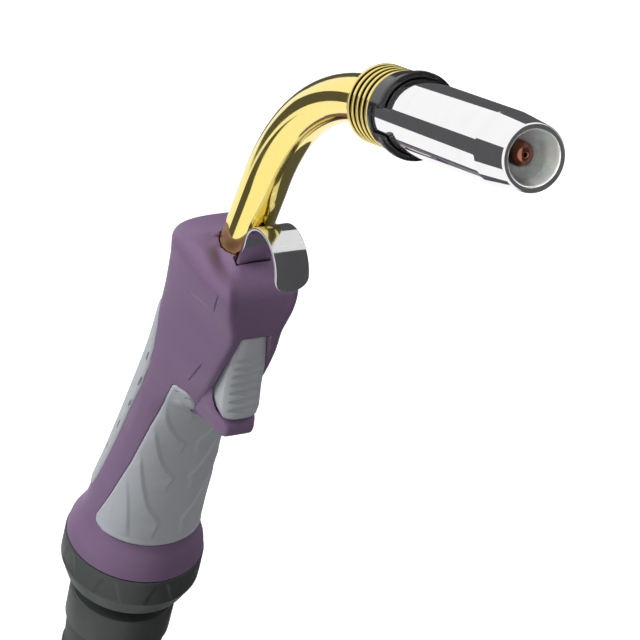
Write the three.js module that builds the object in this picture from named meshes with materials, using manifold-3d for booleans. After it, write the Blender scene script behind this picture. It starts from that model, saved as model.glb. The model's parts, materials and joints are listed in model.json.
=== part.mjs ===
// A hand-held MIG welding torch: gas nozzle, gooseneck, two-piece handle, trigger,
// hanging hook and the ball joint where the cable enters.
// Millimetres. +Z runs up the axis of the rear ring, +X points to the trigger side.
// The origin is the inner apex of the hanging hook, the point that rests on a peg.
import * as THREE from 'three';
import { mergeVertices } from 'three/addons/utils/BufferGeometryUtils.js';
import Module from 'manifold-3d';

const wasm = await Module();
wasm.setup();

// ---------- driving dimensions ----------
const CLEAR = 0.3;            // gap between separate pieces
const NOZZLE_R = 12.0;        // outside of the gas nozzle
const NOZZLE_WALL = 1.6;
const NOZZLE_CYL_END = 82.9;  // end of the nozzle's straight part, from the first fin
const NOZZLE_END = 99.0;      // nozzle rim, from the first fin
const RIM_R = 10.5;           // outside of the rim
const BORE_R = 8.6;           // bore at the rim
const NECK_R = 7.8;           // outside of the gooseneck jacket
const NECK_LEAN = 10;         // degrees, the neck's start leans forward of +Z
const NECK_STRAIGHT = 31.3;   // straight length above the handle
const BEND_R = 106.1;         // bend radius of the gooseneck
const BEND_ANGLE = 51;        // degrees of bend
const NECK_END = 3.2;         // straight length after the bend, up to the first fin
const FIN_R = 12.9;           // cooling fins on the collar
const FIN_COUNT = 5;          // at most 5 fit in front of the insulator
const FIN_PITCH = 3.5;
const FIN_THICKNESS = 1.6;
const WALL = 3.0;             // wall of the handle shells along the sides and the back
const GRIP_PROUD = 0.6;       // how far the soft grips stand proud of the shell
const GRIP_DEEP = 1.4;        // how deep they sit in it
const RING_X = -25.6;         // axis of the rear ring
const RING_Z = -155.8;        // rear end of the handle's bell
const BALL_R = 16.4;          // ball joint at the cable's end
const LOCK_WALL = 3.0;        // wall of the locking ring
const SUPPORT_LENGTH = 68.2;  // from the bell's end to the end of the cable support
const CABLE_R = 10.6;         // bore for the cable
const HOOK_R = 12.0;          // bend radius of the hook's arch, mid strip
const HOOK_T = 1.2;           // strip thickness
const HOOK_HALF_W = 6.1;      // half the strip's width
const HOOK_Z = 8.8;           // height of the arch's centre
const HOOK_END = 7.3;         // height of the hook's free end
const TRIGGER_HALF_W = 7.1;   // half the trigger's width
const PIN_X = 14.6;           // trigger pivot, forward and up
const PIN_Z = -28.2;
const PIN_R = 1.5;

// ---------- derived ----------
const rad = THREE.MathUtils.degToRad;
const lean = rad(NECK_LEAN);
const bend = rad(BEND_ANGLE);
const V = (x, y, z) => new THREE.Vector3(x, y, z);
const dir0 = V(Math.sin(lean), 0, Math.cos(lean));
const side0 = V(Math.cos(lean), 0, -Math.sin(lean));
const neckP1 = dir0.clone().multiplyScalar(NECK_STRAIGHT);
const bendCentre = neckP1.clone().addScaledVector(side0, BEND_R);
const dir1 = dir0.clone().multiplyScalar(Math.cos(bend)).addScaledVector(side0, Math.sin(bend));
const neckP2 = bendCentre.clone()
  .addScaledVector(side0, -BEND_R * Math.cos(bend))
  .addScaledVector(dir0, BEND_R * Math.sin(bend));
const firstFin = neckP2.clone().addScaledVector(dir1, NECK_END);
// The hook's leg stands just in front of the neck, and its arch starts at the leg's top.
const LEG_STANDOFF = 1.028;
const legX = (z) => NECK_R / Math.cos(lean) + LEG_STANDOFF + Math.tan(lean) * z;
const HOOK_X = legX(HOOK_Z) - 0.1 + HOOK_R;
// The handle was drawn with its rear end at DRAWN_END, and stretches behind the grips' tops.
const DRAWN_END = -155.8;
const STRETCH_FROM = -80;
const along = (z) => (z > STRETCH_FROM ? z
  : STRETCH_FROM + ((z - STRETCH_FROM) * (RING_Z - STRETCH_FROM)) / (DRAWN_END - STRETCH_FROM));
const RACE_R = BALL_R + 4.8;
const LOCK_R = RACE_R + CLEAR + LOCK_WALL;
const BELL_R = LOCK_R - 0.4;
const BALL_Z = RING_Z - 12.2;
const SUPPORT_END = RING_Z - SUPPORT_LENGTH;
const origin = V(HOOK_X, 0, HOOK_Z + HOOK_R - HOOK_T / 2);

// ---------- materials ----------
const paint = (color, roughness, metalness) => (
  new THREE.MeshStandardMaterial({ color, roughness, metalness }));
const purple = paint(0x76607d, 0.5, 0);
const grey = paint(0x96999f, 0.65, 0);
const darkGrey = paint(0x464c4a, 0.6, 0);
const black = paint(0x141516, 0.3, 0);
const gold = paint(0xd8b840, 0.12, 1);
const chrome = paint(0xd0d2d4, 0.08, 1);
const steel = paint(0x9a9c9e, 0.3, 1);
const brass = paint(0xb08d48, 0.35, 1);
const copper = paint(0x9a5236, 0.3, 1);
const white = paint(0xd9d6cc, 0.6, 0);
const red = paint(0x8c2a22, 0.5, 0);

// ---------- solids ----------
// A closed geometry becomes a solid with merged corners and its faces turned out.
function toSolid(geometry) {
  let g = new THREE.BufferGeometry();
  g.setAttribute('position', geometry.getAttribute('position').clone());
  if (geometry.index) g.setIndex(geometry.index.clone());
  g = mergeVertices(g, 1e-4);
  const p = g.getAttribute('position').array;
  const index = Array.from(g.index.array);
  const tris = [];
  let volume = 0;
  for (let i = 0; i < index.length; i += 3) {
    const [a, b, c] = [index[i], index[i + 1], index[i + 2]];
    if (a === b || b === c || a === c) continue;
    tris.push(a, b, c);
    const [ax, ay, az] = [p[3 * a], p[3 * a + 1], p[3 * a + 2]];
    const [bx, by, bz] = [p[3 * b], p[3 * b + 1], p[3 * b + 2]];
    const [cx, cy, cz] = [p[3 * c], p[3 * c + 1], p[3 * c + 2]];
    volume += ax * (by * cz - bz * cy) + ay * (bz * cx - bx * cz) + az * (bx * cy - by * cx);
  }
  if (volume < 0) {
    for (let i = 0; i < tris.length; i += 3) [tris[i], tris[i + 1]] = [tris[i + 1], tris[i]];
  }
  return new wasm.Manifold(new wasm.Mesh({
    numProp: 3,
    vertProperties: new Float32Array(p),
    triVerts: new Uint32Array(tris),
  }));
}

function toGeometry(solid) {
  const mesh = solid.getMesh();
  const g = new THREE.BufferGeometry();
  g.setAttribute('position', new THREE.BufferAttribute(new Float32Array(mesh.vertProperties), 3));
  g.setIndex(new THREE.BufferAttribute(new Uint32Array(mesh.triVerts), 1));
  g.computeVertexNormals();
  return g;
}

// Turns the profile [[radius, z], ...] about Z. A profile off the axis is closed on itself.
function turned(profile, segments = 40) {
  const points = profile.map(([r, z]) => new THREE.Vector2(Math.max(r, 0), z));
  const onAxis = profile[0][0] === 0 && profile[profile.length - 1][0] === 0;
  if (!onAxis) points.push(points[0].clone());
  return new THREE.LatheGeometry(points, segments).rotateX(Math.PI / 2);
}

const tubeProfile = (rIn, rOut, z0, z1) => [[rIn, z0], [rOut, z0], [rOut, z1], [rIn, z1]];
const rodProfile = (r, z0, z1) => [[0, z0], [r, z0], [r, z1], [0, z1]];

// Moves a geometry built about +Z so that its z = 0 lies at point and +Z runs along direction.
function aim(geometry, point, direction) {
  const q = new THREE.Quaternion().setFromUnitVectors(V(0, 0, 1), direction.clone().normalize());
  return geometry.applyQuaternion(q).translate(point.x, point.y, point.z);
}

const box = (x0, x1, y0, y1, z0, z1) => new THREE.BoxGeometry(x1 - x0, y1 - y0, z1 - z0)
  .translate((x0 + x1) / 2, (y0 + y1) / 2, (z0 + z1) / 2);

const rod = (x, y0, y1, z, r, segments = 20) => aim(
  turned(rodProfile(r, 0, y1 - y0), segments), V(x, y0, z), V(0, 1, 0));

// A side-view outline [[x, z], ...] extruded from y0 to y1.
function sideShape(outline, y0, y1) {
  const shape = new THREE.Shape(outline.map(([x, z]) => new THREE.Vector2(x, z)));
  return new THREE.ExtrudeGeometry(shape, { depth: y1 - y0, bevelEnabled: false })
    .rotateX(Math.PI / 2).translate(0, y1, 0);
}

// Joins rings of equally many points into one closed skin with flat ends.
function skinned(rings) {
  const n = rings[0].length;
  const positions = rings.flat().flatMap((p) => [p.x, p.y, p.z]);
  const index = [];
  for (let k = 0; k + 1 < rings.length; k += 1) {
    for (let i = 0; i < n; i += 1) {
      const j = (i + 1) % n;
      const a = k * n + i;
      const b = k * n + j;
      index.push(a, b, b + n, a, b + n, a + n);
    }
  }
  for (const k of [0, rings.length - 1]) {
    const centre = rings[k].reduce((s, p) => s.add(p), V(0, 0, 0)).divideScalar(n);
    const c = positions.length / 3;
    positions.push(centre.x, centre.y, centre.z);
    for (let i = 0; i < n; i += 1) {
      const j = (i + 1) % n;
      if (k === 0) index.push(c, k * n + j, k * n + i);
      else index.push(c, k * n + i, k * n + j);
    }
  }
  const g = new THREE.BufferGeometry();
  g.setAttribute('position', new THREE.Float32BufferAttribute(positions, 3));
  g.setIndex(index);
  return g;
}

// A cross-section at height z. Its back half is a rounded curve of squareness n. Its front half
// is the same curve, or a wedge with a flat front of half width frontHalf, or a share of both.
function sectionRing([z, front, back, half, n, middle, frontHalf = 0, wedge = 0], grow = 0, count = 24) {
  const ring = [];
  const corner = Math.round(count / 14) / (count / 4);
  for (let i = 0; i < count; i += 1) {
    const a = (2 * Math.PI * i) / count;
    const c = Math.cos(a);
    const s = Math.sin(a);
    const reach = c > 0 ? front + grow - middle : middle - back + grow;
    let x = middle + reach * Math.sign(c) * Math.abs(c) ** (2 / n);
    let y = (half + grow) * Math.sign(s) * Math.abs(s) ** (2 / n);
    if (wedge && c > 1e-9) {
      const t = (4 * Math.min(i, count - i)) / count;
      const v = Math.max(0, (t - corner) / (1 - corner));
      const flat = frontHalf + grow * 0.8;
      const wx = front + grow - reach * v;
      const wy = t < corner ? (flat * t) / corner : flat + (half + grow - flat) * (1 - (1 - v) ** 1.7);
      x += wedge * (wx - x);
      y += wedge * (Math.sign(s) * wy - y);
    }
    ring.push(V(x, y, z));
  }
  return ring;
}
const lofted = (sections, grow = 0, count = 24) => skinned(sections.map((s) => sectionRing(s, grow, count)));

// ---------- the gooseneck's path, measured from the handle's top along the axis ----------
const bendLength = BEND_R * bend;
function neckPoint(s) {
  if (s <= NECK_STRAIGHT) return dir0.clone().multiplyScalar(s);
  if (s <= NECK_STRAIGHT + bendLength) {
    const a = (s - NECK_STRAIGHT) / BEND_R;
    return bendCentre.clone()
      .addScaledVector(side0, -BEND_R * Math.cos(a))
      .addScaledVector(dir0, BEND_R * Math.sin(a));
  }
  return neckP2.clone().addScaledVector(dir1, s - NECK_STRAIGHT - bendLength);
}
function neckNormal(s) {
  const a = THREE.MathUtils.clamp((s - NECK_STRAIGHT) / BEND_R, 0, bend);
  return side0.clone().multiplyScalar(Math.cos(a)).addScaledVector(dir0, -Math.sin(a));
}
const firstFinS = NECK_STRAIGHT + bendLength + NECK_END;

// A tube that follows the neck's path from s0 to s1, open along its bore.
function neckTube(rOut, rIn, s0, s1, segments) {
  const middle = [];
  const steps = 8;
  for (let i = 0; i <= steps; i += 1) {
    const s = NECK_STRAIGHT + (bendLength * i) / steps;
    if (s > s0 + 1 && s < s1 - 1) middle.push(s);
  }
  const pipe = (r, overrun) => skinned([s0 - overrun, ...middle, s1 + overrun].map((s) => {
    const centre = neckPoint(s);
    const normal = neckNormal(s);
    const ring = [];
    for (let i = 0; i < segments; i += 1) {
      const a = (2 * Math.PI * i) / segments;
      ring.push(centre.clone().addScaledVector(normal, r * Math.cos(a)).add(V(0, r * Math.sin(a), 0)));
    }
    return ring;
  }));
  return toSolid(pipe(rOut, 0)).subtract(toSolid(pipe(rIn, 1)));
}

// ---------- the scene graph ----------
const torch = new THREE.Group();
torch.position.copy(origin).multiplyScalar(-1);
function put(name, solid, material) {
  const mesh = new THREE.Mesh(toGeometry(solid), material);
  mesh.name = name;
  torch.add(mesh);
  return mesh;
}
const atFin = (geometry) => toSolid(aim(geometry, firstFin, dir1));
const atNeck = (geometry, s = 0) => toSolid(aim(geometry, neckPoint(s), dir0));
const atRing = (geometry) => toSolid(geometry.translate(RING_X, 0, 0));

// ---------- front end: lengths are measured from the first fin along the nozzle ----------
const COLLAR_END = FIN_THICKNESS + FIN_PITCH * (FIN_COUNT - 1) + 0.6;
const INSULATOR_START = COLLAR_END + CLEAR;
const INSULATOR_BASE = INSULATOR_START + 1.3;
const NOZZLE_START = INSULATOR_BASE + CLEAR;
const LIP_START = 24.6;
const LIP_END = 27.6;
const SLEEVE_END = 38;
const SLEEVE_WALL = 1.9;
const NOZZLE_BORE = NOZZLE_R - NOZZLE_WALL;
const SLEEVE_R = NOZZLE_BORE - CLEAR;
const DIFFUSER_R = SLEEVE_R - SLEEVE_WALL - CLEAR;
const STEM_R = 6.7;
const INSULATOR_R = NOZZLE_R + 0.9;
const LIP_R = NOZZLE_R + 2.2;
const LINING_R = NECK_R - 0.9 - CLEAR;

const nozzleOuter = [
  [NOZZLE_R, NOZZLE_START], [NOZZLE_R, NOZZLE_CYL_END], [NOZZLE_R - 0.3, NOZZLE_CYL_END + 4],
  [RIM_R + 0.25, NOZZLE_END - 0.4], [RIM_R - 0.35, NOZZLE_END]];
const nozzleInner = [[BORE_R + 0.3, NOZZLE_END], [BORE_R, NOZZLE_END - 0.5], [BORE_R, NOZZLE_END - 8],
  [NOZZLE_BORE, NOZZLE_CYL_END - 6], [NOZZLE_BORE, NOZZLE_START]];
put('gas_nozzle', atFin(turned([...nozzleOuter, ...nozzleInner], 40)), chrome);

// The insulator is a base ring with an inner sleeve inside the nozzle and an outer skirt
// with a lip. Two notches in the skirt let it flex.
let insulator = atFin(turned([
  [STEM_R + CLEAR, INSULATOR_START], [INSULATOR_R, INSULATOR_START], [INSULATOR_R, LIP_START],
  [LIP_R, LIP_START + 0.6], [LIP_R, LIP_END], [NOZZLE_R + CLEAR, LIP_END], [NOZZLE_R + CLEAR, INSULATOR_BASE],
  [SLEEVE_R, INSULATOR_BASE], [SLEEVE_R, 30], [NOZZLE_BORE - 1.4, 30.01], [NOZZLE_BORE - 1.4, 32.4],
  [SLEEVE_R, 32.41], [SLEEVE_R, SLEEVE_END], [DIFFUSER_R + CLEAR, SLEEVE_END],
  [DIFFUSER_R + CLEAR, INSULATOR_START + 6], [STEM_R + CLEAR, INSULATOR_START + 6]], 30));
for (const turn of [0, 180]) {
  const notch = box(NOZZLE_R - 3, LIP_R + 4, -4.4, 4.4, INSULATOR_BASE + 0.05, LIP_END + 2);
  notch.rotateZ(rad(turn - 88));
  const ringCut = turned(tubeProfile(NOZZLE_R + CLEAR / 2, LIP_R + 3, INSULATOR_START - 1, LIP_END + 3), 30);
  insulator = insulator.subtract(atFin(notch).intersect(atFin(ringCut)));
}
put('nozzle_insulator', insulator, black);

// An open spring ring in the sleeve's groove grips the nozzle.
let snap = turned(tubeProfile(NOZZLE_BORE - 1.1, NOZZLE_BORE - CLEAR / 2, 30.35, 32.05), 40);
snap = atFin(snap).subtract(atFin(box(6, NOZZLE_R + 2, -1.5, 1.5, 28, 34)));
put('nozzle_spring', snap, steel);

put('contact_tip', atFin(turned([
  [0.6, 50.4], [2.6, 50.4], [2.6, 59.0], [4.0, 59.0], [4.0, 90.4], [3.5, 92.2], [2.3, 93.4], [0.9, 93.7],
  [0.6, 93.4]], 20)), copper);
put('tip_holder', atFin(turned([
  [2.9, 30.3], [3.9, 30.3], [3.9, 43.2], [5.6, 43.2], [5.6, 56.6], [4.8, 58.6], [2.9, 58.6]], 20)), brass);
let diffuser = atFin(turned([
  [5.3, 16.6], [STEM_R, 16.6], [STEM_R, 23.0], [DIFFUSER_R, 23.0], [DIFFUSER_R, 27.8], [6.4, 29.4],
  [6.4, 42.9], [4.2, 42.9], [4.2, 23.3], [5.3, 23.3]], 24));
// Gas ports.
for (let i = 0; i < 6; i += 1) {
  const port = turned(rodProfile(0.95, 2, DIFFUSER_R + 4), 6).rotateY(Math.PI / 2);
  diffuser = diffuser.subtract(atFin(port.rotateZ(rad(60 * i)).translate(0, 0, 25.6)));
}
put('gas_diffuser', diffuser, brass);

// Collar with cooling fins at the end of the neck.
const finRoot = FIN_R - 2.2;
const collarStep = 8.3;       // the collar's bore is wide up to here, for the jacket
const collarBore = LINING_R + 0.5;
const finProfile = [[NECK_R + CLEAR, 0.2]];
for (let i = 0; i < FIN_COUNT; i += 1) {
  const z = 0.2 + FIN_PITCH * i;
  finProfile.push([FIN_R, z], [FIN_R, z + FIN_THICKNESS]);
  if (i < FIN_COUNT - 1) finProfile.push([finRoot, z + FIN_THICKNESS], [finRoot, z + FIN_PITCH]);
}
finProfile.push(
  [FIN_R, COLLAR_END], [collarBore, COLLAR_END], [collarBore, collarStep], [NECK_R + CLEAR, collarStep]);
put('neck_collar', atFin(turned(finProfile, 30)), gold);

const JACKET_START = -11.0;
put('neck_jacket', neckTube(NECK_R, NECK_R - 0.9, JACKET_START, firstFinS + 7.9, 26), gold);
put('neck_insulation', neckTube(LINING_R, 5.4, -9.5, firstFinS + 15.0, 16), white);
put('neck_conductor', neckTube(5.0, 3.2, -26.0, firstFinS + 22.6, 14), copper);
put('wire_liner', neckTube(2.4, 1.3, along(-128.0), firstFinS + 49.6, 8), steel);

// ---------- inside the handle: lengths are measured along the neck's own line ----------
// The nut draws the neck onto the brass block.
const BLOCK_R = 8.4;
const nutBore = atNeck(turned(rodProfile(5.3, -30, 0), 24));
const nutBody = atNeck(turned([
  [0, -17.4], [7.4, -17.4], [7.4, -14.4], [BLOCK_R + 0.6, -14.4], [BLOCK_R + 0.6, -11.4], [0, -11.4]], 6));
put('neck_nut', nutBody.subtract(nutBore), brass);
put('block_oring', atNeck(turned([
  [5.3, -19.3], [6.1, -19.6], [6.9, -19.3], [7.2, -18.55], [6.9, -17.8], [6.1, -17.7],
  [5.3, -17.8]], 18)), black);
put('torch_block', atNeck(turned([
  [5.3, -28.0], [5.3, -19.7], [7.3, -19.7], [7.5, -19.4], [7.7, -17.6], [7.7, -14.7], [BLOCK_R, -14.7],
  [BLOCK_R, -31.0], [6.2, -33.0], [6.2, -36.0], [2.75, -36.0], [2.75, -28.0]], 24)), brass);
const TUBE_END = along(-122.0);
put('power_tube', atNeck(turned(tubeProfile(2.75, 4.6, TUBE_END, -36.3), 24)), copper);
put('rear_connector', atNeck(turned([
  [2.75, -14], [6.0, -14], [6.0, -10], [7.4, -9.6], [7.4, -2.6], [6.0, -2.2], [6.0, 6],
  [4.9, 6], [4.9, -0.4], [2.75, -0.4]], 22).translate(0, 0, TUBE_END)), brass);
const cuffBore = atNeck(turned(rodProfile(6.3, TUBE_END - 18, TUBE_END + 22), 24));
const connectorNut = atNeck(turned(rodProfile(8.2, TUBE_END - 1.9, TUBE_END + 5), 6));
put('connector_nut', connectorNut.subtract(cuffBore), brass);

// ---------- handle ----------
// Sections from the rear bell up to the head: z, front x, back x, half width, squareness,
// x of the widest place, then the half width of the flat front and how much of a wedge it is.
const bodySections = [
  [RING_Z, RING_X + BELL_R, RING_X - BELL_R, BELL_R, 2, RING_X],
  [along(-152.6), RING_X + BELL_R - 0.4, RING_X - BELL_R + 0.4, BELL_R - 0.4, 2, RING_X],
  [along(-148.6), -3.0, -47.4, 22.1, 2.05, -25],
  [along(-143.4), -5.4, -45.2, 20.2, 2.1, -24.4],
  [along(-135), -5.8, -43.7, 19.0, 2.2, -23.2],
  [along(-118), -5.2, -40.2, 18.0, 2.15, -20.4],
  [along(-90), -3.4, -34.0, 17.4, 2.15, -16],
  [-73, 1.8, -29.9, 17.5, 2.15, -13.2, 3, 0.3],
  [-66, 7.6, -28.2, 17.6, 2.15, -12, 6.6, 0.8],
  [-59, 11.0, -26.6, 17.7, 2.15, -11, 7.6, 0.9],
  [-49, 15.2, -24.4, 17.9, 2.2, -10, 8.8, 1],
  [-36, 19.1, -22.5, 18.2, 2.25, -9, 8.5, 1],
  [-25.5, 21.4, -21.7, 18.5, 2.3, -8.4, 8.3, 1],
  [-14, 21.9, -21.8, 18.8, 2.5, -8, 11.8, 1],
  [-7.8, 21.1, -22.6, 19.0, 2.7, -8, 12.6, 1],
  [-4.8, 19.2, -19.4, 18.2, 2.7, -7, 11.8, 1],
  [-2.4, 15.8, -14.6, 16.4, 2.5, -5, 10, 0.9],
  [-0.3, 10.6, -9.8, 13.6, 2.3, -1, 7, 0.6],
  [1.7, 5.0, -5.6, 10.6, 2.2, 0],
];
// The frame around the trigger and the finger stop below it.
const frameHalf = TRIGGER_HALF_W + CLEAR + 1.5;
const snoutSections = [
  [-75.6, -1.0, -10, 4.2, 3, -4],
  [-73.4, 3.4, -10, 6.0, 3, -2],
  [-70.8, 7.8, -10, 7.2, 3, 0, 4.6, 1],
  [-68.2, 12.4, -10, 7.9, 4, 2, 5.2, 1],
  [-66.6, 18.0, -10, frameHalf - 0.5, 5, 4, 5.2, 1],
  [-65.2, 24.0, -10, frameHalf - 0.2, 5, 4, 5.2, 1],
  [-62.6, 24.9, -10, frameHalf - 0.1, 6, 4, 5.3, 1],
  [-60.4, 24.2, -10, frameHalf, 6, 4, 5.6, 1],
  [-58.0, 18.4, -10, frameHalf, 6, 5],
  [-55.0, 16.8, -10, frameHalf, 6, 4],
  [-49.0, 15.4, -10, frameHalf, 6, 4],
  [-36.0, 19.0, -10, frameHalf - 0.2, 6, 5],
  [-26.0, 21.0, -10, frameHalf - 0.4, 6, 6],
  [-22.0, 21.2, -10, frameHalf - 0.4, 6, 6],
];
// The hollow inside, as sections of its own. It ends in the bore that holds the race's nose.
const SPIGOT_BORE = RACE_R - 3.0;
const cavitySections = [
  [RING_Z + 4.8, RING_X + SPIGOT_BORE, RING_X - SPIGOT_BORE, SPIGOT_BORE, 2, RING_X],
  [along(-143.4), -5.4 - WALL, -45.2 + WALL, 20.2 - WALL, 2.1, -24.4],
  [along(-135), -5.8 - WALL, -43.7 + WALL, 19.0 - WALL, 2.2, -23.2],
  [along(-90), -3.4 - WALL, -34.0 + WALL, 17.4 - WALL, 2.15, -16],
  [-72, -0.4 - WALL, -29.7 + WALL, 17.5 - WALL, 2.15, -13.2],
  [-50, 2.6, -24.6 + WALL, 17.9 - WALL, 2.2, -9],
  [-27, 7.4, -21.9 + WALL, 18.4 - WALL, 2.3, -6],
  [-10.5, 7.8, -22.0 + WALL, 18.7 - WALL, 2.4, -6],
];

// Grip outlines in side view, [x, z].
const stretched = (outline) => outline.map(([x, z]) => [x, along(z)]);
const frontGripOutline = stretched([
  [0.3, -59.6], [-6.2, -84], [-12.4, -107], [-18.0, -126], [-20.6, -134], [-22.2, -138.6], [-21.4, -140.8],
  [-18, -141.8], [8, -142.6], [30, -142.6], [30, -76.4], [2.4, -76.0], [4.4, -71.6], [7.6, -63.2], [7.0, -60.8],
  [5.4, -59.8]]);
const rearGripOutline = stretched([
  [-14.6, -38.6], [-12.2, -44], [-11.6, -53], [-12.2, -62], [-15.0, -75], [-19.6, -89], [-23.2, -104],
  [-26.6, -116], [-30.0, -128], [-32.6, -134.8], [-60, -134.8], [-60, -38], [-17, -37.2]]);
// Moves every side of an outline outwards by a margin.
function grownOutline(outline, margin) {
  const n = outline.length;
  const area = outline.reduce((sum, [x, z], i) => {
    const [x2, z2] = outline[(i + 1) % n];
    return sum + x * z2 - x2 * z;
  }, 0);
  const sign = area > 0 ? 1 : -1;
  return outline.map(([x, z], i) => {
    const [px, pz] = outline[(i + n - 1) % n];
    const [qx, qz] = outline[(i + 1) % n];
    const a = new THREE.Vector2(z - pz, px - x).normalize().multiplyScalar(sign);
    const b = new THREE.Vector2(qz - z, x - qx).normalize().multiplyScalar(sign);
    const m = a.clone().add(b).normalize();
    const reach = margin / Math.max(m.dot(a), 0.5);
    return [x + m.x * reach, z + m.y * reach];
  });
}

const outerSkin = toSolid(lofted(bodySections));
const snoutSolid = toSolid(lofted(snoutSections, 0, 20));
const cavity = toSolid(lofted(cavitySections));

// Side outline of the opening that the trigger fills, and of the pocket for the switch.
const SLOT_TOP = -24.6;
const SLOT_BOTTOM = -58.6;
const faceOutline = (grow, top, bottom) => [
  [TRIGGER_HALF_W - 2.1 + grow, top], [TRIGGER_HALF_W + grow, -40], [TRIGGER_HALF_W + grow, -54],
  [TRIGGER_HALF_W - 1.2 + grow, bottom], [1.2 - TRIGGER_HALF_W - grow, bottom], [-TRIGGER_HALF_W - grow, -54],
  [-TRIGGER_HALF_W - grow, -40], [2.1 - TRIGGER_HALF_W - grow, top]];
// A front-view outline [[y, z], ...] extruded from x0 to x1.
function frontShape(outline, x0, x1) {
  const shape = new THREE.Shape(outline.map(([y, z]) => new THREE.Vector2(y, z)));
  return new THREE.ExtrudeGeometry(shape, { depth: x1 - x0, bevelEnabled: false })
    .applyMatrix4(new THREE.Matrix4().makeBasis(V(0, 1, 0), V(0, 0, 1), V(1, 0, 0))).translate(x0, 0, 0);
}
const slot = toSolid(frontShape(faceOutline(CLEAR, SLOT_TOP, SLOT_BOTTOM), -1, 40));
const rearBore = atRing(turned(rodProfile(SPIGOT_BORE, RING_Z - 20, RING_Z + 4.8), 36));
const spigot = atRing(turned(tubeProfile(SPIGOT_BORE, RACE_R, RING_Z - 9.2, RING_Z + 1), 36));

let shell = outerSkin.add(snoutSolid).subtract(cavity).subtract(slot).subtract(rearBore).add(spigot);
// The neck's way in, then two webs that hold the brass block.
const webs = toSolid(box(-30, 20, -30, 30, -16.2, -13.4)).add(toSolid(box(-30, 8, -30, 30, -31, -28.2)))
  .intersect(toSolid(lofted(bodySections, -1.5)));
shell = shell.add(webs).subtract(atNeck(turned(rodProfile(NECK_R + CLEAR, -13, 12), 40)));
shell = shell.subtract(atNeck(turned([
  [0, -37], [6.5, -37], [6.5, -33.1], [BLOCK_R + CLEAR, -31.3], [BLOCK_R + CLEAR, -17.9],
  [BLOCK_R + 0.6 + CLEAR, -17.7], [BLOCK_R + 0.6 + CLEAR, -11.1], [0, -11.1]], 36)));
shell = shell.subtract(slot);

// Screw bosses stand on both walls and meet near the middle.
const screws = [[-15.4, -14.2, 17.0], [15.8, -16.4, 12.0], [14.0, -62.1, 5.7], [-37.2, along(-141.5), 15.4]];
const BOSS_R = 2.9;
const SCREW_R = 1.3;
const HEAD_R = 2.5;
const HEAD_SINK = 2.6;        // the head's seat lies this far under the face
const HEAD_HEIGHT = 1.9;
const TIP_SHARE = 0.62;       // the screw reaches this share of the face's distance beyond the middle
for (const [x, z] of screws) {
  shell = shell.add(toSolid(rod(x, -30, 30, z, BOSS_R)).intersect(toSolid(lofted(bodySections, -1.5))
    .add(toSolid(lofted(snoutSections, -0.8, 20)))));
}
for (const [x, z, face] of screws) {
  shell = shell.subtract(toSolid(rod(x, -face * TIP_SHARE, 40, z, SCREW_R + 0.2)));
  shell = shell.subtract(toSolid(rod(x, face - HEAD_SINK, 40, z, HEAD_R + 0.4)));
}

// Ledge that carries the switch, and the seat of the trigger spring.
const SWITCH = { x0: -2.2, x1: 8.2, half: 3.1, z0: -53.5, z1: -41.5 };
const ledge = toSolid(box(-3.4, 8.2, -16, 16, -57.4, -53.8))
  .add(toSolid(box(-1.7, 8.2, -16, 16, -41.2, -39.2)))
  .add(toSolid(box(2.4, 3.8, -16, 16, -40, -32.8)))
  .intersect(toSolid(lofted(bodySections, -1.5)));
shell = shell.add(ledge);
shell = shell.subtract(toSolid(box(-6, -0.4, -2.6, 2.6, -58, -53)));
// Trigger pin holes.
const PIN_HALF = TRIGGER_HALF_W + 0.9;
shell = shell.subtract(toSolid(rod(PIN_X, -PIN_HALF - CLEAR, PIN_HALF + CLEAR, PIN_Z, PIN_R + CLEAR)));
// Pocket for the hook's foot and its rivet.
const FOOT_Z = -7.6;
const footX1 = 17.0;
const pocketHalf = HOOK_T / 2 + CLEAR;
shell = shell.subtract(toSolid(box(6.2, footX1 + CLEAR, -HOOK_HALF_W - CLEAR, HOOK_HALF_W + CLEAR,
  FOOT_Z - pocketHalf, FOOT_Z + pocketHalf)));
shell = shell.subtract(toSolid(sideShape([
  [6.2, FOOT_Z - pocketHalf], [legX(FOOT_Z) + pocketHalf + 0.05, FOOT_Z - pocketHalf],
  [legX(12) + pocketHalf + 0.05, 12], [6.2, 12]],
-HOOK_HALF_W - CLEAR, HOOK_HALF_W + CLEAR)));
const RIVET_X = 13.6;
shell = shell.subtract(toSolid(turned([
  [0, -4.6], [2.6, -4.6], [2.6, -2.6], [1.7, -2.6], [1.7, 1], [2.6, 1], [2.6, 2.7], [0, 2.7]], 16)
  .translate(RIVET_X, 0, FOOT_Z)));

// Pockets for the grips.
const pocketSkin = toSolid(lofted(bodySections, -GRIP_DEEP - CLEAR));
const around = toSolid(lofted(bodySections, 6));
const band = around.subtract(pocketSkin);
const keepSnoutWide = toSolid(lofted(snoutSections, CLEAR + 0.15, 20));
for (const outline of [frontGripOutline, rearGripOutline]) {
  const pocket = band.intersect(toSolid(sideShape(grownOutline(outline, CLEAR), -40, 40)));
  shell = shell.subtract(pocket.subtract(snoutSolid));
}

const HALF_GAP = CLEAR / 2;
const rightSpace = toSolid(box(-80, 80, -60, -HALF_GAP, -240, 60));
const leftSpace = toSolid(box(-80, 80, HALF_GAP, 60, -240, 60));
const biggest = (solid) => solid.decompose().sort((a, b) => b.volume() - a.volume())[0];
put('handle_shell_right', biggest(shell.intersect(rightSpace)), purple);
put('handle_shell_left', biggest(shell.intersect(leftSpace)), purple);

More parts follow.
